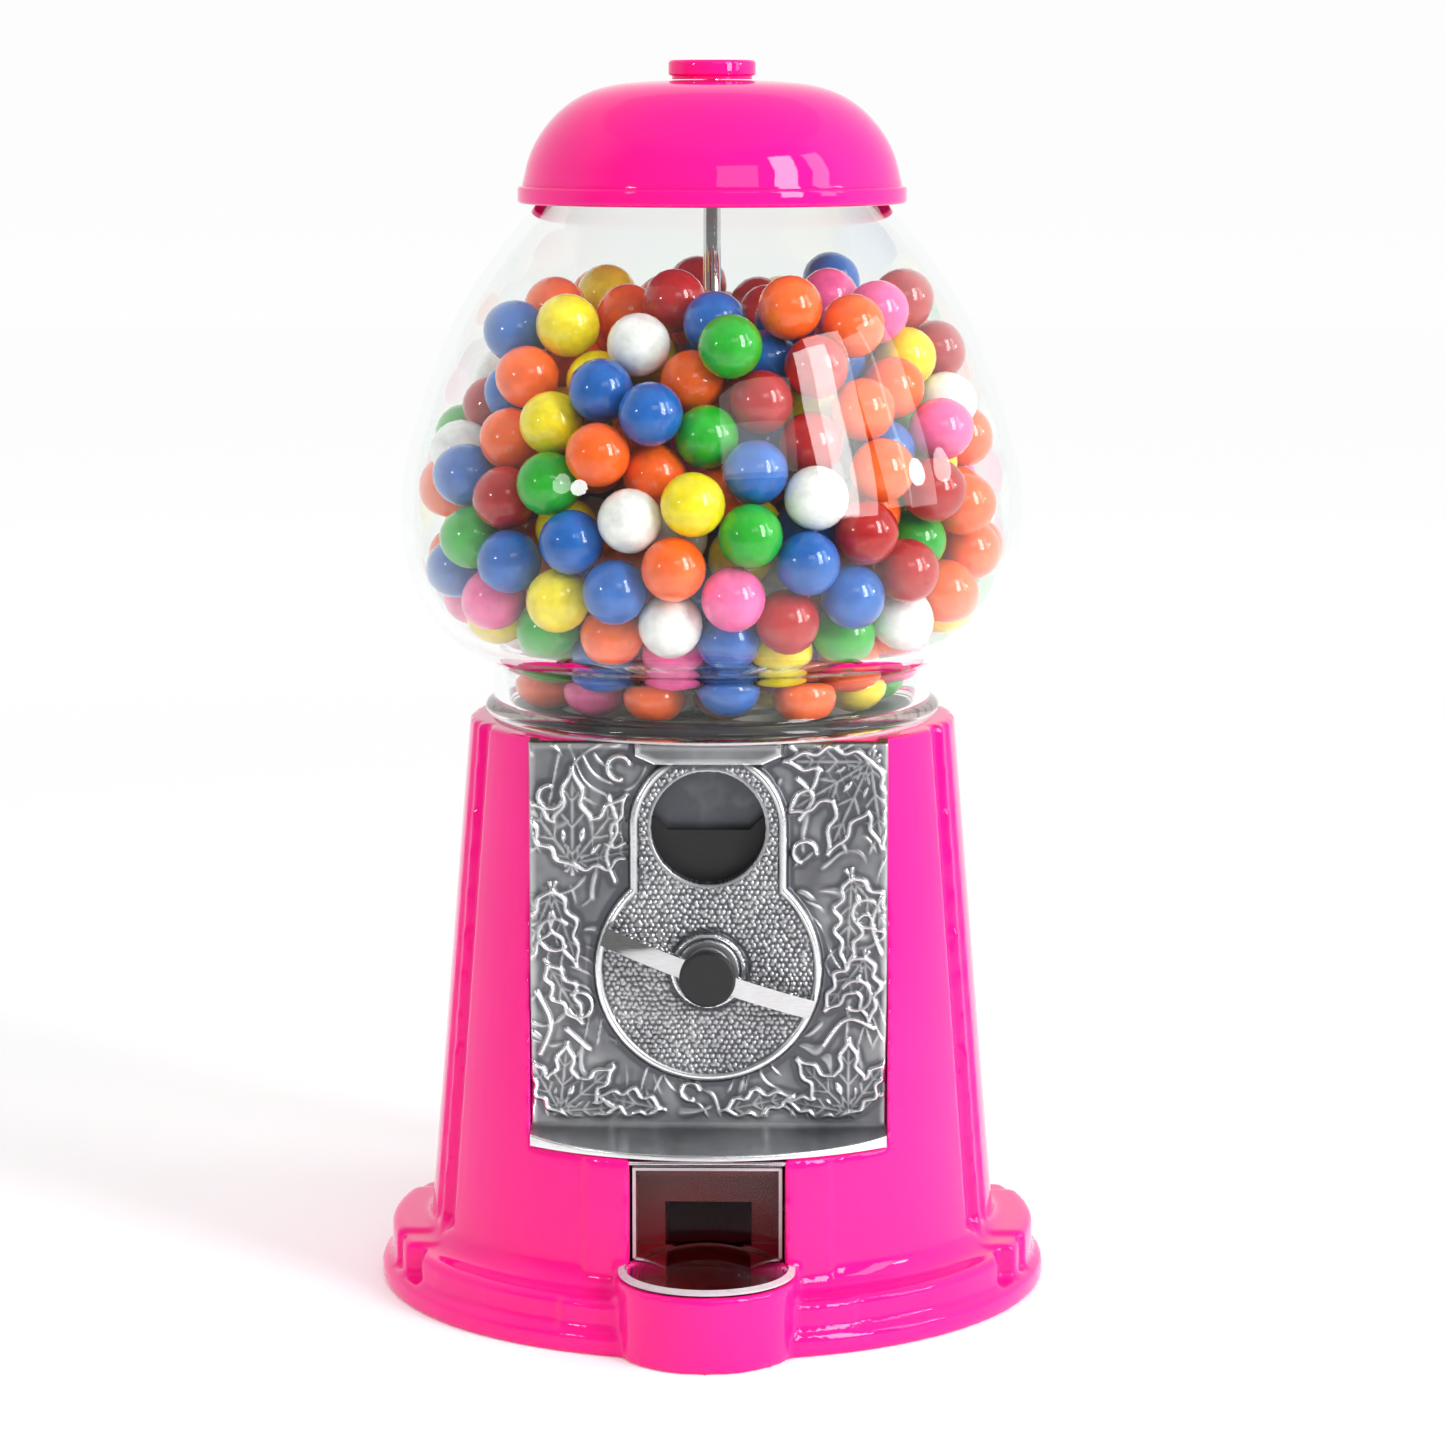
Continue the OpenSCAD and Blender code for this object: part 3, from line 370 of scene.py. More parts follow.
def rounded(corners, steps=5):
    """An outline from (r, z, fillet radius) corners, each turned by a small arc."""
    path = []
    count = len(corners)
    for i, (r, z, radius) in enumerate(corners):
        if radius <= 0:
            path.append((r, z))
            continue
        here = Vector((r, z))
        before = (Vector(corners[i - 1][:2]) - here).normalized()
        after = (Vector(corners[(i + 1) % count][:2]) - here).normalized()
        half = before.angle(after) / 2
        middle = here + (before + after).normalized() * radius / math.sin(half)
        start = here + before * radius / math.tan(half) - middle
        end = here + after * radius / math.tan(half) - middle
        for s in range(steps + 1):
            spoke = start.slerp(end, s / steps).normalized() * radius
            path.append((middle.x + spoke.x, middle.y + spoke.y))
    return path


def lathe(name, outline, slot, body, segments=160, closed=True):
    """A solid of revolution about Z from (r, z) points; points on the axis become single vertices."""
    points, rings, faces = [], [], []
    for r, z in outline:
        if r < 1e-6:
            rings.append([len(points)] * segments)
            points.append((0, 0, z))
        else:
            rings.append(list(range(len(points), len(points) + segments)))
            for s in range(segments):
                turn = 2 * math.pi * s / segments
                points.append((r * math.cos(turn), r * math.sin(turn), z))
    pairs = list(zip(rings, rings[1:]))
    if closed:
        pairs.append((rings[-1], rings[0]))
    for low, high in pairs:
        for s in range(segments):
            t = (s + 1) % segments
            corner = [low[s], low[t], high[t], high[s]]
            face = list(dict.fromkeys(corner))
            if len(face) > 2:
                faces.append(face)
    made = make_object(name, points, faces, slot, body)
    sheet = bmesh.new()
    sheet.from_mesh(made.data)
    bmesh.ops.recalc_face_normals(sheet, faces=sheet.faces)
    sheet.to_mesh(made.data)
    sheet.free()
    sharp_by_angle(made, 50)
    return made


def cast_copy(node, name, slot, body, voxel, rounds, keep):
    """The node's own shape with every edge softened, as a casting under thick enamel."""
    source = frame["nodes"][node]
    made = bpy.data.objects.new(name, source.data.copy())
    bpy.context.scene.collection.objects.link(made)
    remesh = made.modifiers.new("remesh", "REMESH")
    remesh.mode = "VOXEL"
    remesh.voxel_size = voxel * MM
    soften = made.modifiers.new("soften", "SMOOTH")
    soften.factor = 0.5
    soften.iterations = rounds
    thin = made.modifiers.new("thin", "DECIMATE")
    thin.ratio = keep
    apply_modifiers(made)
    finish_object(made, slot, body)
    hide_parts(node)


# ---------------------------------------------------------------- face plate


class Relief:
    """Heights over a grid of the plate's front, in millimetres."""

    def __init__(self, xs, zs):
        self.xs, self.zs = xs, zs
        self.x, self.z = np.meshgrid(xs, zs)
        self.height = np.zeros_like(self.x)
        self.inset = np.minimum(HALF_PLATE - np.abs(self.x), PLATE_HIGH.z - self.z)

    def raise_to(self, surface):
        self.height = np.maximum(self.height, surface)

    def line(self, points, width=LINE_W, rise=LINE_RISE):
        """A rounded ridge along a chain of points."""
        for (ax, az), (bx, bz) in zip(points, points[1:]):
            reach = 2 * width
            near = ((self.x > min(ax, bx) - reach) & (self.x < max(ax, bx) + reach)
                    & (self.z > min(az, bz) - reach) & (self.z < max(az, bz) + reach))
            px, pz = self.x[near] - ax, self.z[near] - az
            span = max((bx - ax) ** 2 + (bz - az) ** 2, 1e-9)
            along = np.clip((px * (bx - ax) + pz * (bz - az)) / span, 0, 1)
            gap = np.hypot(px - along * (bx - ax), pz - along * (bz - az))
            ridge = rise * np.clip(1 - (gap / width) ** 2, 0, 1)
            self.height[near] = np.maximum(self.height[near], ridge)

    def leaf(self, base, angle, length, width, lobes, blades=(0,), spread=0.8):
        """A lobed leaf, or several sharing a base, drawn as a raised outline with ribs."""
        edge = np.full_like(self.x, 99.0)
        ribs = np.full_like(self.x, 99.0)
        for blade in blades:
            turn = math.radians(angle + blade)
            size = 1 - 0.004 * abs(blade)
            x, z = self.x - base[0], self.z - base[1]
            u = (x * math.cos(turn) + z * math.sin(turn)) / (length * size)
            v = -x * math.sin(turn) + z * math.cos(turn)
            inside = np.clip(u, 0, 1)
            body = np.sin(math.pi * inside ** spread)
            wave = 1 + 0.32 * np.sin(2 * math.pi * lobes * inside - 0.9)
            half = width * size * body * wave
            slope = np.gradient(half, axis=1) ** 2 + np.gradient(half, axis=0) ** 2
            steep = np.sqrt(1 + slope / GRID_PITCH ** 2)
            outside = np.maximum(u - 1, -u) * length
            edge = np.minimum(edge, np.maximum((np.abs(v) - half) / steep, outside))
            rib = np.where((u > -0.12) & (u < 0.86), np.abs(v), 99.0)
            for k in range(1, lobes + 1):
                start = (k - 0.62) / (lobes + 0.6)
                slant = np.abs(np.abs(v) - (u - start) * length * 0.8) / 1.28
                rib = np.minimum(rib, np.where((u > start) & (np.abs(v) < 0.72 * half), slant, 99.0))
            ribs = np.minimum(ribs, rib)
        face = np.where(edge < 0, 0.22, 0.0)
        self.raise_to(face)
        self.raise_to(LINE_RISE * np.clip(1 - (edge / LINE_W) ** 2, 0, 1))
        self.raise_to(0.6 * LINE_RISE * np.clip(1 - (ribs / (0.75 * LINE_W)) ** 2, 0, 1))

    def curl(self, center, radius, start, turns, grow=0.0):
        """A tendril that winds round a point."""
        steps = max(8, int(abs(turns) * 28))
        chain = []
        for i in range(steps + 1):
            a = math.radians(start) + 2 * math.pi * turns * i / steps
            r = radius * (1 + grow * i / steps)
            chain.append((center[0] + r * math.cos(a), center[1] + r * math.sin(a)))
        self.line(chain)


def boss_distance(x, z):
    """Distance outside the guitar-shaped boss: a disc round the handle and a neck round the window."""
    disc = np.hypot(x, z - HANDLE_Z) - BOSS_R
    top = np.hypot(x, z - WINDOW_Z) - NECK_R
    strip = np.maximum(np.abs(x) - NECK_R, np.maximum(HANDLE_Z - z, z - WINDOW_Z))
    return np.minimum(np.minimum(disc, top), strip)


def foliage(relief):
    """Leaves, buds and tendrils round the boss."""
    low, high = PLATE_LOW.z, PLATE_HIGH.z
    side = HALF_PLATE
    fan = (-58, -22, 22, 58)
    relief.leaf((-side + 9.5, high - 27), 82, 22, 3.3, 3, (-68, -30, 8, 44))
    relief.leaf((side - 4, high - 4), 232, 24, 3.4, 3, (-52, -20, 14, 46))
    relief.leaf((-side + 5, high - 33), 262, 20, 2.6, 3, (-14, 26))
    relief.leaf((side - 8, high - 30), 285, 22, 2.9, 4, (-18, 22))
    relief.leaf((-side + 6.5, low + 7), 62, 17, 3.0, 3, fan)
    relief.leaf((side - 8.5, low + 7), 112, 18, 3.0, 3, fan)
    relief.leaf((-11, low + 7.6), 168, 14, 2.5, 3)
    relief.leaf((4, low + 7.4), 12, 15, 2.5, 3)
    relief.leaf((side - 5, low + 42), 250, 16, 2.7, 3, (-16, 24))
    relief.leaf((-side + 4, low + 40), 300, 15, 2.4, 3)
    for x, z, r, start, turns, grow in (
        (-side + 5.5, low + 47, 3.4, 40, 0.75, 0.1),
        (-side + 11, low + 31, 2.6, 200, 0.8, 0.15),
        (side - 7, low + 33.5, 3.2, 150, -0.75, 0.1),
        (side - 4.6, low + 52, 2.8, 10, 0.8, 0.2),
        (-side + 4.6, high - 12, 2.4, 90, 0.75, 0.2),
        (-19.5, high - 5.5, 2.4, 20, 0.7, 0.2),
        (21, high - 24.5, 2.2, 250, -0.7, 0.3),
        (-4, low + 11.6, 1.9, 10, 0.75, 0.1),
    ):
        relief.curl((x, z), r, start, turns, grow)
    for chain in (
        [(-side + 1.5, low + 34), (-side + 4.6, low + 27), (-side + 2.2, low + 20)],
        [(side - 1.2, high - 34), (side - 3.4, high - 40), (side - 1.4, high - 47)],
        [(-22, high - 12), (-20, high - 19), (-22.5, high - 25), (-20.5, high - 31)],
        [(19.5, high - 8), (23, high - 12), (20, high - 17)],
        [(side - 14, low + 22), (side - 9, low + 28), (side - 3, low + 26)],
        [(-side + 13, low + 21), (-side + 8, low + 25.5)],
    ):
        relief.line(catmull(chain, 6))


def tendrils(relief):
    """Fine broken lines that flow through the ground between the leaves."""
    x, z = relief.x, relief.z
    for lean, pitch, shift in ((0.75, 4.6, 0.0), (-0.5, 6.4, 2.1)):
        bend = 3.0 * np.sin(0.23 * x + 0.15 * z + shift) + 2.2 * np.sin(0.19 * z - 0.31 * x + 1.3)
        phase = (x * math.cos(lean) + z * math.sin(lean) + bend) / pitch
        gap = np.abs(phase - np.round(phase)) * pitch
        patch = np.sin(0.34 * x + 0.9 + shift) * np.sin(0.29 * z + 0.4) + 0.15
        patch = np.clip(patch / 0.3, 0, 1)
        relief.raise_to(TENDRIL_RISE * patch * np.clip(1 - (gap / TENDRIL_W) ** 2, 0, 1))


def pebbles(relief, inside):
    """Small round bumps in jittered rows over the boss."""
    rng = np.random.default_rng(5)
    jitter = 0.24
    row_share = 0.866
    base = relief.height.copy()
    rows = int((PLATE_HIGH.z - HANDLE_Z + BOSS_R) / (PEBBLE_PITCH * row_share)) + 2
    for row in range(rows):
        z = HANDLE_Z - BOSS_R + row * PEBBLE_PITCH * row_share
        for col in range(int(2 * BOSS_R / PEBBLE_PITCH) + 1):
            x = -BOSS_R + (col + 0.5 * (row % 2)) * PEBBLE_PITCH
            x += rng.uniform(-jitter, jitter)
            pz = z + rng.uniform(-jitter, jitter)
            size = PEBBLE_PITCH * rng.uniform(0.34, 0.50)
            i0 = int(np.searchsorted(relief.zs, pz - size))
            i1 = int(np.searchsorted(relief.zs, pz + size))
            j0 = int(np.searchsorted(relief.xs, x - size))
            j1 = int(np.searchsorted(relief.xs, x + size))
            if i1 <= i0 or j1 <= j0:
                continue
            gap = np.hypot(relief.x[i0:i1, j0:j1] - x, relief.z[i0:i1, j0:j1] - pz) / size
            dot = PEBBLE_RISE * np.sqrt(np.clip(1 - gap ** 2, 0, 1)) * inside[i0:i1, j0:j1]
            here = relief.height[i0:i1, j0:j1]
            relief.height[i0:i1, j0:j1] = np.maximum(here, base[i0:i1, j0:j1] + dot)


def add_tab(relief):
    """The tab at the plate's top edge, with slanted lower corners."""
    half, drop_from, depth, rise, edge = 16.5, 12, 5, 2.4, 0.5
    drop = np.clip((np.abs(relief.x) - drop_from) / (half - drop_from), 0, 1) * 2
    above = (relief.z - (PLATE_HIGH.z - depth) - drop) / edge
    within = (half - np.abs(relief.x)) / edge
    relief.raise_to(rise * np.clip(np.minimum(above, within), 0, 1))


def plate_relief(xs, zs):
    """The plate's front as heights: foliage, the pebbled boss with its bead, tab and collar."""
    relief = Relief(xs, zs)
    tendrils(relief)
    foliage(relief)
    fade = np.clip((relief.z - PLATE_LOW.z - LIP_T - LIP_RISE - 1.0) / 1.2, 0, 1)
    relief.height *= fade * np.clip(relief.inset / 0.8, 0, 1)
    gap = boss_distance(relief.x, relief.z)
    relief.height *= np.clip((gap - 0.3) / 0.8, 0, 1)
    rise = np.clip((0.9 - gap) / 0.9, 0, 1)
    relief.raise_to(BOSS_RISE * rise * (3 - 2 * rise) * rise)
    from_window = np.hypot(relief.x, relief.z - WINDOW_Z) - WINDOW_R
    from_collar = np.hypot(relief.x, relief.z - HANDLE_Z) - COLLAR_R
    inside = ((gap < -BEAD_W - 0.3) & (from_window > 0.9) & (from_collar > 0.5)
              & (relief.z < PLATE_HIGH.z - 5.4))
    pebbles(relief, inside)
    bead = np.abs(gap + BEAD_W / 2) / (BEAD_W / 2 + 0.2)
    bead_rise = BOSS_RISE + (BEAD_RISE - BOSS_RISE) * np.sqrt(np.clip(1 - bead ** 2, 0, 1))
    relief.raise_to(np.where(bead < 1, bead_rise, 0))
    ring_half, ring_rise = 0.45, 0.25
    ring = np.abs(from_window - ring_half) / ring_half
    ring_height = BOSS_RISE + ring_rise * np.sqrt(np.clip(1 - ring ** 2, 0, 1))
    relief.raise_to(np.where(ring < 1, ring_height, 0))
    relief.raise_to(COLLAR_RISE * np.clip(-from_collar / 0.35, 0, 1))
    groove_in, groove_half, groove_depth = 1.5, 0.35, 0.5
    groove = np.abs(from_collar + groove_in) / groove_half
    relief.height -= groove_depth * np.sqrt(np.clip(1 - groove ** 2, 0, 1))
    add_tab(relief)
    corner_r = 0.6
    corner = np.clip(corner_r - relief.inset, 0, corner_r)
    relief.height -= corner_r - np.sqrt(corner_r ** 2 - corner ** 2)
    return relief.height


def lip_rows(x, share):
    """Point of the lip's surface at a share of its sweep: over the cove, then round the front edge."""
    edge_r = 0.5
    depth = math.sqrt(LIP_R ** 2 - x ** 2) + PLATE_FRONT
    edge_z = PLATE_LOW.z + LIP_T
    full = LIP_R + PLATE_FRONT + 1

    def top(y):
        cosine = min(1.0, max(0.0, 1 - (PLATE_FRONT - y) / full))
        return edge_z + LIP_RISE * (1 - math.sqrt(1 - cosine ** 2))

    if share <= 1:
        y = PLATE_FRONT - (depth - edge_r) * share
        return y, top(y)
    end = PLATE_FRONT - depth
    start_z = top(end + edge_r)
    turn = (share - 1) * math.pi / 2
    if share <= 2:
        return end + edge_r - edge_r * math.sin(turn), start_z - edge_r * (1 - math.cos(turn))
    return end, start_z - edge_r + (PLATE_LOW.z - start_z + edge_r) * (share - 2)


def blur(field, reach):
    """Mean over a square window, for telling ridges from hollows."""
    padded = np.pad(field, reach, mode="edge")
    total = np.cumsum(np.cumsum(padded, axis=0), axis=1)
    total = np.pad(total, ((1, 0), (1, 0)))
    n = 2 * reach + 1
    area = total[n:, n:] - total[:-n, n:] - total[n:, :-n] + total[:-n, :-n]
    return area / n ** 2


def cut_round_hole(xs, zs, points, keep, center_z, radius):
    """Open a round hole in the grid: drop what is inside it and pull its edge onto the circle."""
    for i, z in enumerate(zs):
        for j, x in enumerate(xs):
            gap = math.hypot(x, z - center_z)
            if gap > radius + 1.0 or gap < 1e-6:
                continue
            if gap < radius - GRID_PITCH * 0.75:
                keep[i, j] = False
            elif gap < radius + GRID_PITCH * 0.55:
                points[i, j, 0] = x * radius / gap
                points[i, j, 2] = center_z + (z - center_z) * radius / gap


def face_plate():
    columns = int(2 * HALF_PLATE / GRID_PITCH) + 1
    xs = np.linspace(-HALF_PLATE, HALF_PLATE, columns)
    flat_low = PLATE_LOW.z + LIP_T + LIP_RISE
    rows = int((PLATE_HIGH.z - flat_low) / GRID_PITCH) + 1
    zs = np.linspace(PLATE_HIGH.z, flat_low, rows)
    rising = zs[::-1].copy()
    height = plate_relief(xs, rising)[::-1]
    flat = np.zeros((rows, columns, 3))
    flat[:, :, 0] = xs
    flat[:, :, 1] = PLATE_FRONT - height
    flat[:, :, 2] = zs[:, None]
    keep = np.ones((rows, columns), bool)
    cut_round_hole(xs, zs, flat, keep, WINDOW_Z, WINDOW_R)
    cut_round_hole(xs, zs, flat, keep, HANDLE_Z, SHAFT_HOLE_R)
    cove_rows = 26
    shares = [s / cove_rows for s in range(1, cove_rows + 1)] + [1.25, 1.5, 1.75, 2, 3]
    lip = np.array([[(x, *lip_rows(x, s)) for x in xs] for s in shares])
    points = np.concatenate([flat, lip])
    shown = np.concatenate([keep, np.ones((len(shares), columns), bool)])
    ridge = np.clip(0.20 + 1.35 * (height - blur(height, 5)) / LINE_RISE, 0.0, 1.0)
    fall = np.linspace(0.15, 0.80, cove_rows)
    lip_wear = np.concatenate([fall, np.full(len(shares) - cove_rows, 0.9)])
    wear = np.concatenate([ridge, np.repeat(lip_wear[:, None], columns, axis=1)])
    sheet_to_casting(points, shown, wear)


def sheet_to_casting(points, shown, wear):
    """Turn the front sheet into a closed casting with a flat back."""
    rows, columns = shown.shape
    index = np.full(shown.shape, -1)
    index[shown] = np.arange(shown.sum())
    cells = []
    for i in range(rows - 1):
        for j in range(columns - 1):
            corner = [index[i, j], index[i + 1, j], index[i + 1, j + 1], index[i, j + 1]]
            if min(corner) >= 0:
                cells.append([int(c) for c in corner])
    mesh = bpy.data.meshes.new("face_plate_casting")
    mesh.from_pydata((points[shown] * MM).tolist(), [], cells)
    layer = mesh.attributes.new("wear", "FLOAT", "POINT")
    layer.data.foreach_set("value", wear[shown].astype(np.float32))
    sheet = bmesh.new()
    sheet.from_mesh(mesh)
    loose = [v for v in sheet.verts if not v.link_faces]
    bmesh.ops.delete(sheet, geom=loose, context="VERTS")
    rim = [e for e in sheet.edges if e.is_boundary]
    grown = bmesh.ops.extrude_edge_only(sheet, edges=rim)["geom"]
    for vert in [g for g in grown if isinstance(g, bmesh.types.BMVert)]:
        vert.co.y = PLATE_BACK * MM
    back = [g for g in grown if isinstance(g, bmesh.types.BMEdge) and g.is_boundary]
    bmesh.ops.triangle_fill(sheet, edges=back, use_beauty=False)
    add_wings(sheet)
    bmesh.ops.recalc_face_normals(sheet, faces=sheet.faces)
    sheet.to_mesh(mesh)
    sheet.free()
    made = bpy.data.objects.new("face_plate_casting", mesh)
    bpy.context.scene.collection.objects.link(made)
    finish_object(made, "cast_aluminium", "stand")
    sharp_by_angle(made, 62)
    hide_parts("face_plate")


def column_r(z):
    """Radius of the stand's column at a height."""
    low_r, high_r = 65.2, 55.5
    low_z, high_z = 17.0, 131.0
    return low_r + (high_r - low_r) * (z - low_z) / (high_z - low_z)


def add_wings(sheet):
    """Thin webs that close the gap between the plate's upper sides and the round column."""
    steps = 14
    wing_low = 97.5
    web = 2
    overlap = 0.4
    for side in (-1, 1):
        strips = []
        for i in range(steps + 1):
            z = wing_low + (PLATE_HIGH.z - wing_low) * i / steps
            depth = -math.sqrt(column_r(z) ** 2 - HALF_PLATE ** 2) + overlap
            ring = []
            for x, y in ((HALF_PLATE - web, PLATE_BACK), (HALF_PLATE, PLATE_BACK),
                         (HALF_PLATE, depth), (HALF_PLATE - web, depth)):
                ring.append(sheet.verts.new((side * x * MM, max(y, PLATE_BACK) * MM, z * MM)))
            strips.append(ring)
        for low, high in zip(strips, strips[1:]):
            for k in range(4):
                sheet.faces.new((low[k], low[(k + 1) % 4], high[(k + 1) % 4], high[k]))
        sheet.faces.new(strips[0])
        sheet.faces.new(strips[-1])


# ---------------------------------------------------------------- globe, lid and knob


def globe():
    low, high = mm_box("globe")
    foot = low.z
    keys = [(49.8, 142), (51, 144), (54.9, 146.1), (59.5, 149), (63.4, 153), (66.4, 157.8), (69, 164),
            (70.5, 171.5), (70.7, 179.5), (69.8, 188.5), (67.2, 198.8), (63.4, 209.5), (59, 220.2),
            (54, 229), (48.6, 236.6), (43.4, 243), (40, 247), (38.6, 249.6)]
    bead = [(50.4, foot), (51.6, foot + 0.7), (52, foot + 1.8), (51.4, foot + 3), (50, foot + 4),
            (49.8, foot + 6)]
    bowl = catmull(keys, 5)
    inner = [p for p in moved(bowl, GLASS_T) if p[1] > keys[0][1] + 1.5]
    outline = [(47.2, foot)] + catmull(bead, 4) + bowl
    outline += [(38.4, high.z - 0.6), (37.8, high.z), (36.4, high.z)] + inner[::-1] + [(47.2, keys[0][1])]
    made = lathe("glass_globe", outline, "glass", "stand", 192)
    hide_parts("globe")


def lid():
    low, high = mm_box("lid")
    rim_z, rim_r, top_z = low.z, high.x, high.z
    keys = [(42.9, rim_z + 4.4), (42.4, 253.8), (41.8, 256.4), (40.8, 259.2), (39, 262.6), (36.4, 266),
            (33, 269.2), (28.6, 271.9), (23, 273.7), (16, 274.6), (9, 274.9)]
    dome = catmull(keys, 6)
    inside = [p for p in moved(dome, LID_T) if p[1] > rim_z + 3]
    rim = rounded([(rim_r - LID_T, rim_z, 0.4), (rim_r, rim_z, 0.9), (rim_r, rim_z + 3.7, 0.7),
                   (rim_r - 1.1, rim_z + 4.0, 0.0)])
    rod_hole = 2.3
    outline = rim + dome + [(rod_hole, top_z), (rod_hole, top_z - LID_T)]
    outline += inside[::-1] + [(rim_r - LID_T - 0.9, rim_z + 3)]
    made = lathe("lid_shell", outline, "pink_enamel", "lid", 192)
    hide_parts("lid")


def knob():
    low, high = mm_box("lid_knob")
    r = high.x
    outline = rounded([(0, low.z, 0), (r - 0.8, low.z, 0.2), (r - 0.8, low.z + 0.7, 0.1),
                       (r, low.z + 1.0, 0.35), (r, high.z, 0.9), (r - 1.6, high.z, 0), (0, high.z, 0)], 6)
    made = lathe("screw_knob", outline, "pink_enamel", "knob", 128, closed=False)
    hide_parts("lid_knob")


def add_bar(points, faces, low, high):
    """Add a straight bar, between two corners, to a mesh in the making."""
    first = len(points)
    points += [(x, y, z) for x in (low[0], high[0]) for y in (low[1], high[1]) for z in (low[2], high[2])]
    faces += [[first + k for k in corners] for corners in (
        (0, 1, 3, 2), (4, 6, 7, 5), (0, 4, 5, 1), (2, 3, 7, 6), (0, 2, 6, 4), (1, 5, 7, 3))]


def add_arc(points, faces, section, center_y, reach, steps=64):
    """Add a four-cornered section, swept to both sides of the front, to a mesh in the making."""
    first = len(points)
    for i in range(steps + 1):
        turn = reach * (2 * i / steps - 1)
        points += [(r * math.sin(turn), center_y - r * math.cos(turn), z) for r, z in section]
    for i in range(steps):
        near, far = first + 4 * i, first + 4 * (i + 1)
        faces += [(near + k, far + k, far + (k + 1) % 4, near + (k + 1) % 4) for k in range(4)]
    faces += [[first + k for k in (0, 1, 2, 3)], [first + 4 * steps + k for k in (3, 2, 1, 0)]]


def flap_highlight_rim():
    """Pale opaque rim, slightly proud, along the flap's panel and its dome: a painted highlight for the
    bright edges of the clear plastic.
    """
    low, high = mm_box("chute_flap")
    panel_front = high.y - 1.75
    front_y, back_y = panel_front - 0.15, panel_front + 0.6
    outer_x, top_z, foot_z = high.x - 2.9, high.z - 2.6, low.z + 1.2
    inner_x = outer_x - 0.7
    points, faces = [], []
    add_bar(points, faces, (-outer_x, front_y, foot_z), (-inner_x, back_y, top_z))
    add_bar(points, faces, (inner_x, front_y, foot_z), (outer_x, back_y, top_z))
    add_bar(points, faces, (-outer_x, front_y, top_z), (outer_x, back_y, top_z + 0.6))
    rim_r = high.x + 0.05
    rim_w = 1.4
    section = [(rim_r - rim_w, low.z), (rim_r, low.z), (rim_r, low.z + 0.45), (rim_r - rim_w, low.z + 1.0)]
    add_arc(points, faces, section, low.y + high.x, math.radians(97))
    make_object("flap_highlight_rim", points, faces, "clear_seal", "flap", smooth=False)


# ---------------------------------------------------------------- gumballs


def ball_centers(node):
    """Centre of each separate ball in a CAD node, in millimetres."""
    source = frame["nodes"][node].data
    points = np.empty(len(source.vertices) * 3)
    source.vertices.foreach_get("co", points)
    points = points.reshape(-1, 3) / MM
    edges = np.empty(len(source.edges) * 2, int)
    source.edges.foreach_get("vertices", edges)
    edges = edges.reshape(-1, 2)
    label = np.arange(len(points))
    while True:
        low = np.minimum(label[edges[:, 0]], label[edges[:, 1]])
        fresh = label.copy()
        np.minimum.at(fresh, edges[:, 0], low)
        np.minimum.at(fresh, edges[:, 1], low)
        fresh = fresh[fresh]
        if (fresh == label).all():
            break
        label = fresh
    centers = []
    for group in np.unique(label):
        mine = points[label == group]
        center = (mine.min(0) + mine.max(0)) / 2
        if all(np.linalg.norm(center - c) > BALL_R for c in centers):
            centers.append(center)
    return centers


def unit_ball():
    sheet = bmesh.new()
    bmesh.ops.create_icosphere(sheet, subdivisions=3, radius=1.0)
    points = np.array([v.co for v in sheet.verts])
    faces = np.array([[v.index for v in f.verts] for f in sheet.faces])
    sheet.free()
    return points, faces


def gumballs(colour_name, sphere, seed):
    """Every ball of one colour: a slightly uneven sphere at the CAD ball's place."""
    unit, faces = sphere
    rng = np.random.default_rng(seed)
    all_points, all_faces = [], []
    for n, center in enumerate(ball_centers("gumballs_" + colour_name)):
        uneven = np.zeros(len(unit))
        for _ in range(7):
            way = rng.normal(size=3)
            way /= np.linalg.norm(way)
            uneven += rng.uniform(0.2, 1.0) * np.cos(rng.uniform(2, 8) * unit @ way + rng.uniform(0, 6.3))
        radius = BALL_R * (1 - 0.0035 + 0.0022 * uneven)
        all_points.append(center + unit * radius[:, None])
        all_faces.append(faces + n * len(unit))
    name = "candy_" + colour_name
    mesh = bpy.data.meshes.new(name)
    mesh.from_pydata((np.concatenate(all_points) * MM).tolist(), [], np.concatenate(all_faces).tolist())
    made = bpy.data.objects.new(name, mesh)
    bpy.context.scene.collection.objects.link(made)
    finish_object(made, "gum_" + colour_name, "stand")
    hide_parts("gumballs_" + colour_name)


# ---------------------------------------------------------------- carried-over CAD nodes


def dress_cad_nodes():
    """Give each CAD node its slot's material, and soften the edges of those that show."""
    for row in frame["record"]["subparts"]:
        node = frame["nodes"][row["node"]]
        node.data.materials.clear()
        node.data.materials.append(MATERIALS[row["material_slot"]])
    for name, width in (("handle_lever", 0.3), ("handle_cap", 0.25), ("coin_wheel", 0.2),
                        ("coin_track_plate", 0.2), ("chute_flap", 0.55)):
        edge = frame["nodes"][name].modifiers.new("soft_edges", "BEVEL")
        edge.width = width * MM
        edge.segments = 2
        edge.limit_method = "ANGLE"
        edge.angle_limit = math.radians(35)
        # The flap's bevelled edges take the pale seal plastic: a painted highlight along the clear
        # plastic's edges.
        if name == "chute_flap":
            frame["nodes"][name].data.materials.append(MATERIALS["clear_seal"])
            edge.material = 1


# ---------------------------------------------------------------- stage, lights and camera


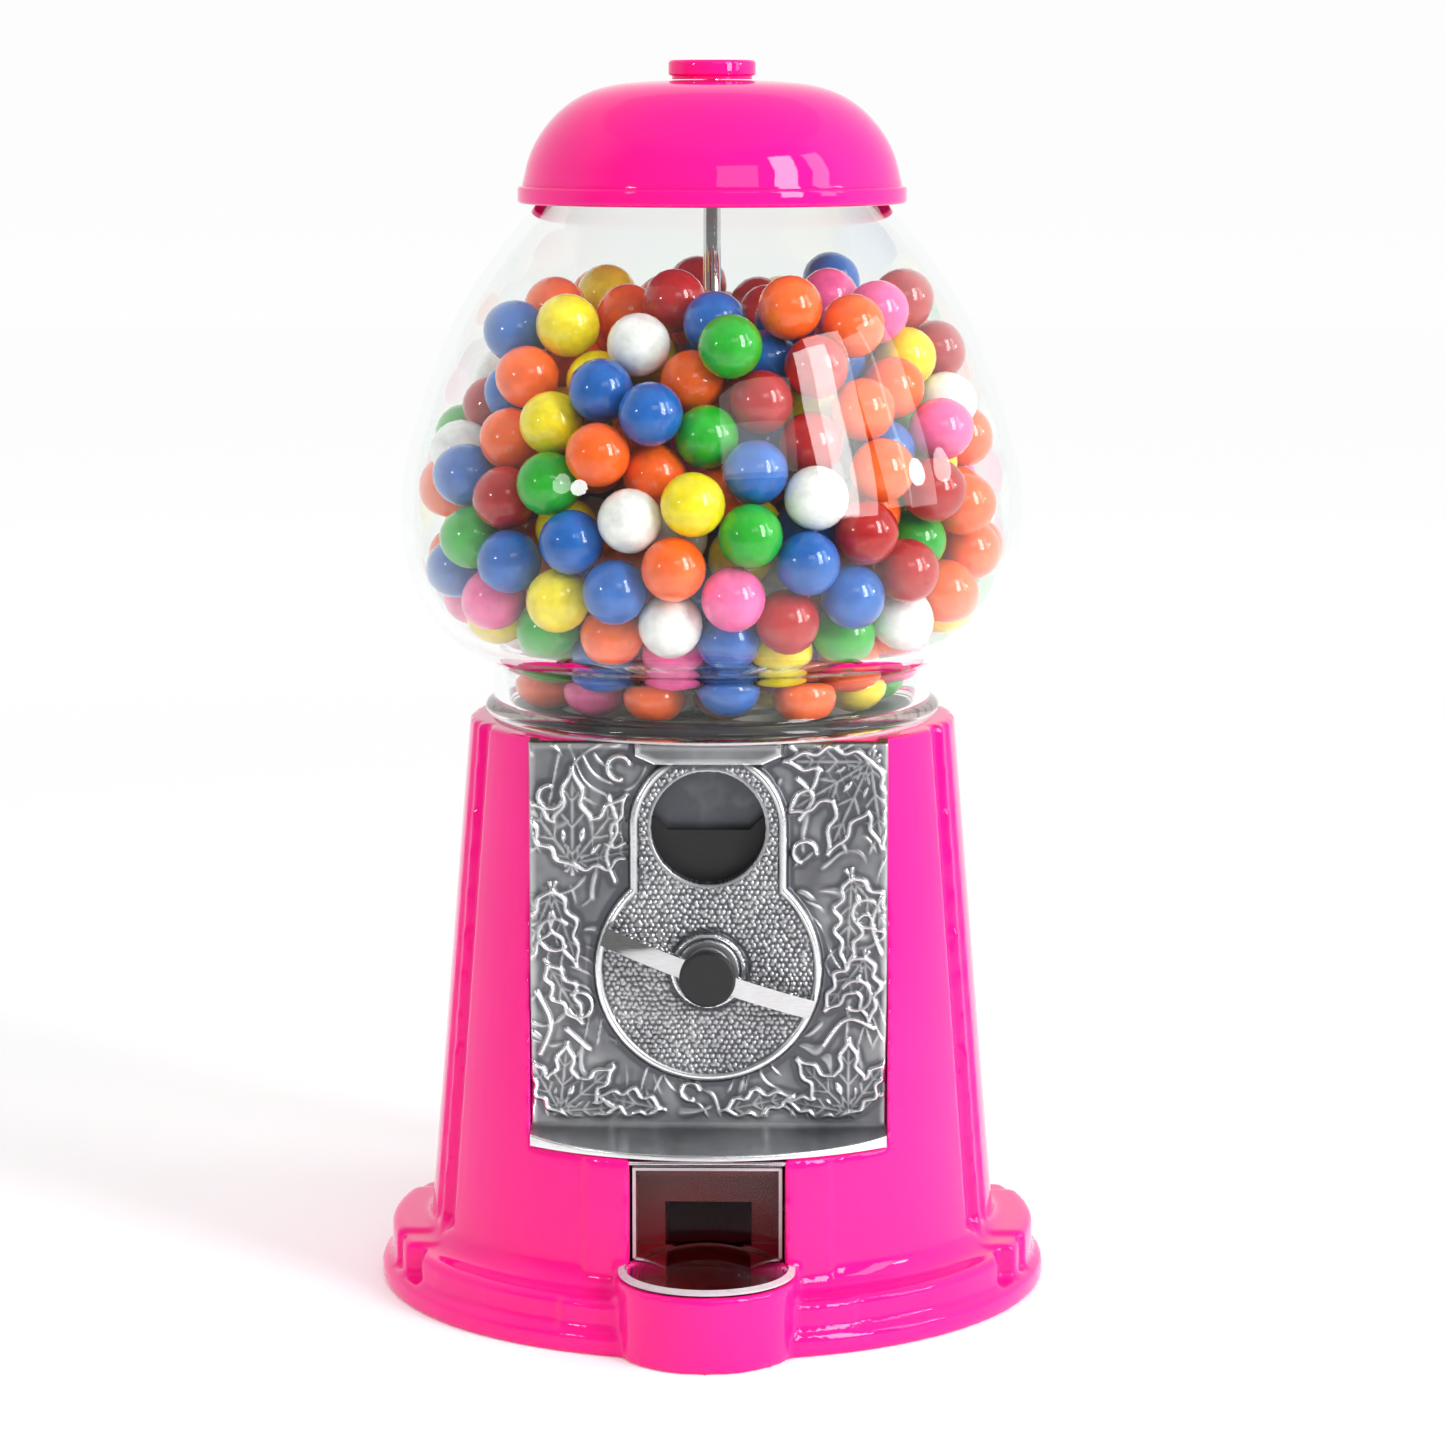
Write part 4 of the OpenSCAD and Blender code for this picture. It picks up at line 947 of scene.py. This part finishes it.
def floor_mesh():
    """A round floor that sweeps up into a wall far from the object, in metres."""
    flat_r, wall_r, cove = 1.6, 3.6, 2.0
    profile = [(0, 0), (0.4, 0), (1.0, 0), (flat_r, 0)]
    profile += [(wall_r - cove * math.cos(a), cove - cove * math.sin(a)) for a in
                [math.pi / 2 * (1 - s / 12) for s in range(1, 13)]]
    segments = 96
    mesh = bpy.data.meshes.new("floor")
    points, faces = [], []
    for r, z in profile:
        for s in range(segments):
            turn = 2 * math.pi * s / segments
            points.append((r * math.cos(turn), r * math.sin(turn), z))
    for i in range(len(profile) - 1):
        for s in range(segments):
            t = (s + 1) % segments
            near, far = i * segments, (i + 1) * segments
            faces.append((near + s, near + t, far + t, far + s))
    mesh.from_pydata(points, [], faces)
    mesh.polygons.foreach_set("use_smooth", [True] * len(mesh.polygons))
    return mesh


def floor_material():
    """White that turns from lit near the object to softly glowing far out."""
    made, tree, shader = new_material("pale_floor")
    shader.inputs["Roughness"].default_value = 0.8
    shader.inputs["Specular IOR Level"].default_value = 0.1
    place = add_node(tree, "ShaderNodeTexCoord")
    far = add_node(tree, "ShaderNodeVectorMath", operation="LENGTH")
    tree.links.new(place.outputs["Object"], far.inputs[0])
    glow = value_range(tree, far.outputs["Value"], 0.0, 1.0, 0.25, 1.1)
    tree.links.new(colour_mix(tree, glow, (0.9, 0.9, 0.9), (0.0, 0.0, 0.0)), shader.inputs["Base Color"])
    side = add_node(tree, "ShaderNodeSeparateXYZ")
    tree.links.new(place.outputs["Object"], side.inputs[0])
    behind = value_range(tree, side.outputs["Y"], FRONT_GLOW, 1.0, -0.9, 0.0)
    strength = math_of(tree, "MULTIPLY", value_range(tree, glow, 0.12, 0.97), behind)
    shader.inputs["Emission Color"].default_value = (1, 1, 1, 1)
    tree.links.new(strength, shader.inputs["Emission Strength"])
    return made


def stage():
    mesh = floor_mesh()
    floor = bpy.data.objects.new("floor", mesh)
    bpy.context.scene.collection.objects.link(floor)
    mesh.materials.append(floor_material())


def studio_world():
    """Soft light from above and behind, less from the camera's side."""
    world = bpy.data.worlds.new("studio")
    bpy.context.scene.world = world
    world.use_nodes = True
    tree = world.node_tree
    place = add_node(tree, "ShaderNodeTexCoord")
    split = add_node(tree, "ShaderNodeSeparateXYZ")
    tree.links.new(place.outputs["Generated"], split.inputs[0])
    shade = value_range(tree, split.outputs["Y"], 0.3, 0.7, -1.0, 0.3)
    tree.links.new(shade, tree.nodes["Background"].inputs["Strength"])
    tree.nodes["Background"].inputs["Color"].default_value = (1, 1, 1, 1)


def softbox(name, azimuth, elevation, size, radiance, shape="RECTANGLE"):
    """An area light that faces the middle of the object; azimuth is to the right of the front."""
    target = Vector((0, 0, 0.16))
    turn, tilt = math.radians(azimuth), math.radians(elevation)
    way = Vector((math.sin(turn) * math.cos(tilt), -math.cos(turn) * math.cos(tilt), math.sin(tilt)))
    lamp = bpy.data.lights.new(name, "AREA")
    lamp.shape = shape
    lamp.size, lamp.size_y = size
    area = size[0] * size[1] * (1 if shape == "RECTANGLE" else math.pi / 4)
    lamp.energy = radiance * math.pi * area
    holder = bpy.data.objects.new(name, lamp)
    holder.location = target + way * LAMP_DISTANCE
    holder.rotation_euler = (target - holder.location).to_track_quat("-Z", "Y").to_euler()
    bpy.context.scene.collection.objects.link(holder)
    return holder


def lights():
    """Windows and lamps that show in the gloss, and two fills that do not."""
    softbox("window_front", 17, 27, (0.50, 0.30), 2.6)
    softbox("strip_right", 48, 22, (0.30, 0.85), 15.0)
    softbox("strip_far_right", 72, 22, (0.24, 0.80), 5.0)
    softbox("lamp_left", -48, 14, (0.14, 0.14), 30.0, "ELLIPSE")
    softbox("lamp_right", 82, 14, (0.16, 0.16), 24.0, "ELLIPSE")
    for name, azimuth, elevation, radiance in (("fill_high", -15, 60, 1.25), ("fill_front", -10, 30, 0.85)):
        fill = softbox(name, azimuth, elevation, (1.0, 0.8), radiance)
        fill.visible_glossy = False


def camera():
    """A long lens a metre away, slightly above the object and turned a degree to its right."""
    distance, height, pitch, turn = 0.9682, 0.27078, math.radians(8.346), math.radians(0.95)
    aside = 0.00235
    seen = bpy.data.cameras.new("camera")
    seen.lens = 105.95
    seen.sensor_width = 36
    seen.clip_start = 0.01
    holder = bpy.data.objects.new("camera", seen)
    holder.location = Matrix.Rotation(turn, 3, "Z") @ Vector((aside, -distance, height))
    holder.rotation_euler = (math.pi / 2 - pitch, 0, turn)
    bpy.context.scene.collection.objects.link(holder)
    bpy.context.scene.camera = holder


camera()
studio_world()
lights()
stage()
dress_cad_nodes()
cast_copy("body_casting", "stand_casting", "pink_enamel", "stand", 0.75, 8, 0.35)
face_plate()
globe()
lid()
knob()
flap_highlight_rim()
ball = unit_ball()
for number, colour_name in enumerate(GUM_COLOURS):
    gumballs(colour_name, ball, 40 + number)
bpy.context.scene.view_settings.view_transform = "Standard"
